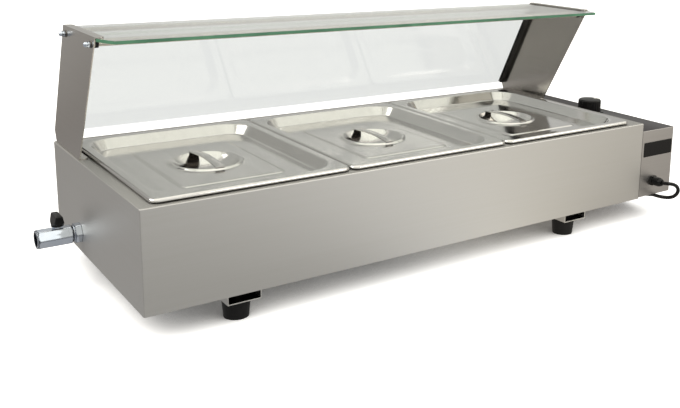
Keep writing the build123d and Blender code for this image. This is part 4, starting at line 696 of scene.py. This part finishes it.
COIL_OUTER = 0.044
COIL_INNER = 0.030
COIL_PITCH = 0.007
COIL_LAYER = 0.0069
COIL_TURNS_IN = 2.0
COIL_CLIMB = 0.5
COIL_TURNS_OUT = 1.75
POINTS_PER_TURN = 12
# a spline runs a little inside the points of a circle
SPLINE_ROOM = 1.035
SLEEVE_TIP = (0.4130, 0.29195, 0.0103)


def coil_points():
    """Two turns inwards, half a turn that climbs to the second layer, and the turns out again."""
    points = []
    for step in range(round((COIL_TURNS_IN + COIL_CLIMB + COIL_TURNS_OUT) * POINTS_PER_TURN) + 1):
        turns = step / POINTS_PER_TURN
        climbed = min(max((turns - COIL_TURNS_IN) / COIL_CLIMB, 0), 1)
        radius = COIL_INNER
        if turns < COIL_TURNS_IN:
            radius = COIL_OUTER - COIL_PITCH * turns
        elif climbed == 1:
            radius = COIL_INNER + COIL_PITCH * (turns - COIL_TURNS_IN - COIL_CLIMB)
        height = COIL_LAYER * climbed**2 * (3 - 2 * climbed)
        angle = math.tau * turns
        outward = Vector((math.cos(angle), math.sin(angle), 0))
        points.append(COIL_CENTRE + outward * radius * SPLINE_ROOM + Vector((0, 0, height)))
    return points


def make_lead():
    """The lead as one smooth spline along its route and its coil."""
    curve = bpy.data.curves.new("mains_lead", "CURVE")
    curve.dimensions = "3D"
    curve.bevel_depth = LEAD_DIAMETER / 2
    curve.bevel_resolution = LEAD_ROUND_STEPS
    curve.use_fill_caps = True
    curve.resolution_u = LEAD_CURVE_STEPS
    points = [Vector(p) for p in LEAD_ROUTE] + coil_points() + [Vector(SLEEVE_TIP)]
    spline = curve.splines.new("NURBS")
    spline.points.add(len(points) - 1)
    for place, point in zip(points, spline.points):
        point.co = (*place, 1.0)
    spline.order_u = 3
    spline.use_endpoint_u = True
    curve.materials.append(SHEATH)
    lead = new_object("mains_lead", curve)
    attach(lead, "body")
    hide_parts("power_cord", "cord_coil")
    return lead


# Tie round the coil: a flat releasable strap, seen end on as a rounded rectangle
TIE_WIDTH = 0.006
TIE_THICKNESS = 0.0006
TIE_LOW = 0.00005
TIE_HIGH = 0.0142
TIE_INSIDE = 0.0262
TIE_OUTSIDE = 0.0444
TIE_CORNER = 0.003


def make_tie():
    """A band round the turns at the coil's -X side."""
    half_across = (TIE_OUTSIDE - TIE_INSIDE) / 2
    half_height = (TIE_HIGH - TIE_LOW) / 2
    middle = COIL_CENTRE.x - (TIE_OUTSIDE + TIE_INSIDE) / 2
    outer = rounded_outline(half_across, half_height, TIE_CORNER)
    inner = rounded_outline(half_across - TIE_THICKNESS, half_height - TIE_THICKNESS,
                            TIE_CORNER - TIE_THICKNESS)
    rings = []
    for side, outline in ((-1, outer), (-1, inner), (1, inner), (1, outer)):
        y = COIL_CENTRE.y + side * TIE_WIDTH / 2
        rings.append([(middle + p.x, y, TIE_LOW + half_height + p.y) for p in outline])
    points, faces = loop_skin(rings)
    return new_piece("coil_tie", points, faces, RUBBER, "body", smooth=False)


LEAD = make_lead()
TIE = make_tie()

# Bare plate on the control box's front
PLATE_LENGTH = 0.0695
PLATE_HEIGHT = 0.0247
PLATE_FROM_LEFT = 0.0050
PLATE_FROM_TOP = 0.0208
PLATE_THICKNESS = 0.0008
PLATE_CORNER = 0.0015
PLATE_EDGE = 0.0003


def make_plate():
    """A thin plate with round corners and a broken front edge."""
    low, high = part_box("control_housing")
    half_length = PLATE_LENGTH / 2
    half_height = PLATE_HEIGHT / 2
    centre_x = low.x + PLATE_FROM_LEFT + half_length
    centre_z = high.z - PLATE_FROM_TOP - half_height
    rings = []
    for inset, out in ((0, 0), (0, PLATE_THICKNESS - PLATE_EDGE), (PLATE_EDGE, PLATE_THICKNESS)):
        outline = rounded_outline(half_length - inset, half_height - inset, PLATE_CORNER - inset)
        rings.append([(centre_x + p.x, low.y - out, centre_z + p.y) for p in outline])
    points, faces = skin(rings)
    new_piece("front_plate", points, faces, LACQUER, "body", smooth=False)


make_plate()

# Knob pointer and dial marks
DIAL_LOW, DIAL_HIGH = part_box("thermostat_dial")
DIAL_MIDDLE = (DIAL_LOW + DIAL_HIGH) / 2
DIAL_CENTRE = Vector((DIAL_MIDDLE.x, DIAL_MIDDLE.y, DIAL_HIGH.z))
MARK_INNER = 0.0214
MARK_OUTER = 0.0229
MARK_WIDTH = 0.0005
MARK_HEIGHT = 0.00008
MARK_COUNT = 9
MARK_SWEEP = math.radians(270)
MARK_FIRST = math.radians(-45)
NUMERAL_EVERY = 2
NUMERAL_RADIUS = 0.0240
NUMERAL_SIZE = 0.0021
COLDEST_SETTING = 30
SETTING_STEP = 10
POINTER_INNER = 0.0075
POINTER_OUTER = 0.0185
POINTER_WIDTH = 0.0012
POINTER_HEIGHT = 0.0003
POINTER_SINK = 0.0005
# where a bar's chamfer begins, as a share of its height, and how far it goes in, as a share of its width
BAR_SHOULDER = 0.6
BAR_CHAMFER = 0.25


def bar(inner, outer, width, height, angle, base):
    """Points and faces of a small radial bar with a chamfered top, standing on a base point."""
    turn = Matrix.Rotation(angle, 3, "Z")
    rings = []
    for inset, rise in ((0, 0), (0, BAR_SHOULDER * height), (BAR_CHAMFER * width, height)):
        near = inner + inset
        far = outer - inset
        half = width / 2 - inset
        corners = [(near, -half), (far, -half), (far, half), (near, half)]
        rings.append([base + turn @ Vector((x, y, rise)) for x, y in corners])
    return skin(rings)


def make_dial_marks():
    """Ticks round the dial, with a temperature at every second one."""
    for index in range(MARK_COUNT):
        angle = MARK_FIRST - MARK_SWEEP * index / (MARK_COUNT - 1)
        points, faces = bar(MARK_INNER, MARK_OUTER, MARK_WIDTH, MARK_HEIGHT, angle, DIAL_CENTRE)
        new_piece(f"dial_mark_{index + 1}", points, faces, INK, "body", smooth=False)
        if index % NUMERAL_EVERY == 0:
            text = bpy.data.curves.new(f"dial_numeral_{index + 1}", "FONT")
            text.body = str(COLDEST_SETTING + SETTING_STEP * index)
            text.size = NUMERAL_SIZE
            text.align_x = "CENTER"
            text.align_y = "CENTER"
            text.extrude = MARK_HEIGHT / 2
            text.materials.append(INK)
            numeral = new_object(text.name, text)
            outward = Vector((math.cos(angle), math.sin(angle), 0))
            numeral.location = DIAL_CENTRE + outward * NUMERAL_RADIUS + Vector((0, 0, MARK_HEIGHT / 2))
            numeral.rotation_euler.z = angle - math.pi / 2
            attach(numeral, "body")


def make_pointer():
    """The white line on the knob, let into its top a little."""
    base = Vector((DIAL_CENTRE.x, DIAL_CENTRE.y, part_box("thermostat_knob")[1].z - POINTER_SINK))
    height = POINTER_HEIGHT + POINTER_SINK
    points, faces = bar(POINTER_INNER, POINTER_OUTER, POINTER_WIDTH, height, MARK_FIRST, base)
    new_piece("knob_pointer", points, faces, INK, "knob", smooth=False)


make_dial_marks()
make_pointer()

# Studio: a pale floor that is white to the camera, and soft light that is brightest at the front right
WHITE = linear("#FFFFFF")
FLOOR_SIZE = 30.0
FLOOR_ALBEDO = "#E6E6E6"
FLOOR_FILL = 0.76
FLOOR_SHADE_REACH = 0.12
# the openness of the floor where its shadow is full and where it ends
FLOOR_SHADE = (0.09, 0.53)
# round the object from -X through -Y, +X and +Y: what polished metal sees at the height of the eye
PANORAMA = [
    (0.000, "#A7A6A5"),
    (0.120, "#989794"),
    (0.186, "#A6A5A3"),
    (0.214, "#C2C1BF"),
    (0.289, "#E5E4E0"),
    (0.345, "#F8F4EB"),
    (0.395, "#DCD6C9"),
    (0.417, "#B7B1A8"),
    (0.500, "#A09A96"),
    (0.595, "#B0AEAB"),
    (0.620, "#C2C1BD"),
    (0.640, "#DAD9D4"),
    (0.665, "#D4D3CF"),
    (0.690, "#D4D3CF"),
    (0.710, "#C4C3BF"),
    (0.800, "#B4B2AE"),
    (0.838, "#989490"),
    (0.890, "#A6A4A2"),
]
CEILING_FRONT = "#F6F3E9"
CEILING_BACK = "#B5B4B0"
# height of a direction where the ceiling begins and is full
CEILING_EDGE = (0.27, 0.5)
# how far back a direction points where the ceiling's back colour begins and is full
CEILING_TURN = (0.25, 0.6)
# heights of a direction between which the ceiling's light goes from its first strength to its second
CEILING_TOP = (0.84, 0.92)
CEILING_LIGHT = (1.34, 1.60)
# each lamp: place, size, power and colour; both aim at the object
LAMPS = [
    ("left_softbox", (-1.7, 0.5, 1.6), (1.6, 1.2), 16.0, "#FFFAF4"),
    ("front_strip", (1.1, -1.55, 1.15), (1.5, 0.4), 7.5, "#FFFBF4"),
]
LAMP_AIM = Vector((0.0, 0.0, 0.15))


def panorama(tree, direction):
    """The studio's brightness round the object, by compass direction."""
    compass = add(tree, "ShaderNodeTexGradient", links={"Vector": direction}, gradient_type="RADIAL")
    return add(tree, "ShaderNodeValToRGB", links={"Fac": compass.outputs["Fac"]},
               stops=PANORAMA).outputs["Color"]


def background_seen(tree):
    """1 where the background is seen straight or through glass, 1 where through glass, and the light path."""
    path = add(tree, "ShaderNodeLightPath")
    no_mirror = add(tree, "ShaderNodeMath", {1: 0.5}, {0: path.outputs["Glossy Depth"]},
                    operation="LESS_THAN")
    through = add(tree, "ShaderNodeMath",
                  links={0: path.outputs["Is Transmission Ray"], 1: no_mirror.outputs[0]},
                  operation="MULTIPLY")
    seen = add(tree, "ShaderNodeMath", links={0: path.outputs["Is Camera Ray"], 1: through.outputs[0]},
               operation="MAXIMUM")
    return seen.outputs[0], through.outputs[0], path


def make_world():
    """White to the camera and through glass; a studio with a pale ceiling to everything else."""
    world = bpy.data.worlds.new("studio")
    world.use_nodes = True
    tree = world.node_tree
    tree.nodes.clear()
    direction = add(tree, "ShaderNodeTexCoord").outputs["Generated"]
    axes = add(tree, "ShaderNodeSeparateXYZ", links={0: direction}).outputs
    behind = add(tree, "ShaderNodeMapRange", {"From Min": CEILING_TURN[0], "From Max": CEILING_TURN[1]},
                 {"Value": axes["Y"]}, interpolation_type="SMOOTHSTEP")
    ceiling = add(tree, "ShaderNodeMix", {"A": linear(CEILING_FRONT), "B": linear(CEILING_BACK)},
                  {"Factor": behind.outputs[0]}, data_type="RGBA")
    overhead = add(tree, "ShaderNodeMapRange", {"From Min": CEILING_EDGE[0], "From Max": CEILING_EDGE[1]},
                   {"Value": axes["Z"]}, interpolation_type="SMOOTHSTEP")
    around = add(tree, "ShaderNodeBackground", {"Strength": 1.0}, {"Color": panorama(tree, direction)})
    zenith = add(tree, "ShaderNodeMapRange",
                 {"From Min": CEILING_TOP[0], "From Max": CEILING_TOP[1],
                  "To Min": CEILING_LIGHT[0], "To Max": CEILING_LIGHT[1]}, {"Value": axes["Z"]})
    above = add(tree, "ShaderNodeBackground",
                links={"Color": ceiling.outputs["Result"], "Strength": zenith.outputs[0]})
    studio = add(tree, "ShaderNodeMixShader",
                 links={0: overhead.outputs[0], 1: around.outputs[0], 2: above.outputs[0]})
    white = add(tree, "ShaderNodeBackground", {"Color": WHITE, "Strength": 1.0})
    shader = add(tree, "ShaderNodeMixShader",
                 links={0: background_seen(tree)[0], 1: studio.outputs[0], 2: white.outputs[0]})
    add(tree, "ShaderNodeOutputWorld", links={"Surface": shader.outputs[0]})
    SCENE.world = world


def make_floor():
    """A pale floor with the object's shadow, lifted to white for the camera; metal sees the studio in it."""
    material, tree = new_material("pale_floor")
    place = add(tree, "ShaderNodeTexCoord").outputs["Object"]
    seen, through, path = background_seen(tree)
    openness = add(tree, "ShaderNodeAmbientOcclusion", {"Distance": FLOOR_SHADE_REACH}, samples=8)
    fill = add(tree, "ShaderNodeMapRange",
               {"From Min": FLOOR_SHADE[0], "From Max": FLOOR_SHADE[1], "To Min": 0.0, "To Max": FLOOR_FILL},
               {"Value": openness.outputs["AO"]}, interpolation_type="SMOOTHSTEP")
    lift = add(tree, "ShaderNodeMath", links={0: fill.outputs[0], 1: seen}, operation="MULTIPLY")
    glow = add(tree, "ShaderNodeEmission", {"Color": WHITE}, {"Strength": lift.outputs[0]})
    matt = add(tree, "ShaderNodeBsdfDiffuse", {"Color": linear(FLOOR_ALBEDO)})
    lit = add(tree, "ShaderNodeAddShader", links={0: matt.outputs[0], 1: glow.outputs[0]})
    mirrored = add(tree, "ShaderNodeEmission", {"Strength": 1.0}, {"Color": panorama(tree, place)})
    in_metal = add(tree, "ShaderNodeMath", links={0: path.outputs["Is Glossy Ray"], 1: seen},
                   operation="SUBTRACT", use_clamp=True)
    opaque = add(tree, "ShaderNodeMixShader",
                 links={0: in_metal.outputs[0], 1: lit.outputs[0], 2: mirrored.outputs[0]})
    white = add(tree, "ShaderNodeEmission", {"Color": WHITE, "Strength": 1.0})
    shader = add(tree, "ShaderNodeMixShader", links={0: through, 1: opaque.outputs[0], 2: white.outputs[0]})
    add(tree, "ShaderNodeOutputMaterial", links={"Surface": shader.outputs[0]})
    half = FLOOR_SIZE / 2
    corners = [(-half, -half, 0), (half, -half, 0), (half, half, 0), (-half, half, 0)]
    mesh = bpy.data.meshes.new("floor")
    mesh.from_pydata(corners, [], [(0, 1, 2, 3)])
    mesh.materials.append(material)
    floor = new_object("floor", mesh)


def make_lamps():
    """A softbox at the left that keeps the floor bright there, and a strip in front for the edges' lines."""
    for name, place, size, power, colour in LAMPS:
        light = bpy.data.lights.new(name, "AREA")
        light.shape = "RECTANGLE"
        light.size, light.size_y = size
        light.energy = power
        light.color = linear(colour)[:3]
        lamp = new_object(name, light)
        lamp.location = place
        lamp.rotation_euler = (LAMP_AIM - Vector(place)).to_track_quat("-Z", "Y").to_euler()


make_world()
make_floor()
make_lamps()
SCENE.view_settings.view_transform = "Standard"
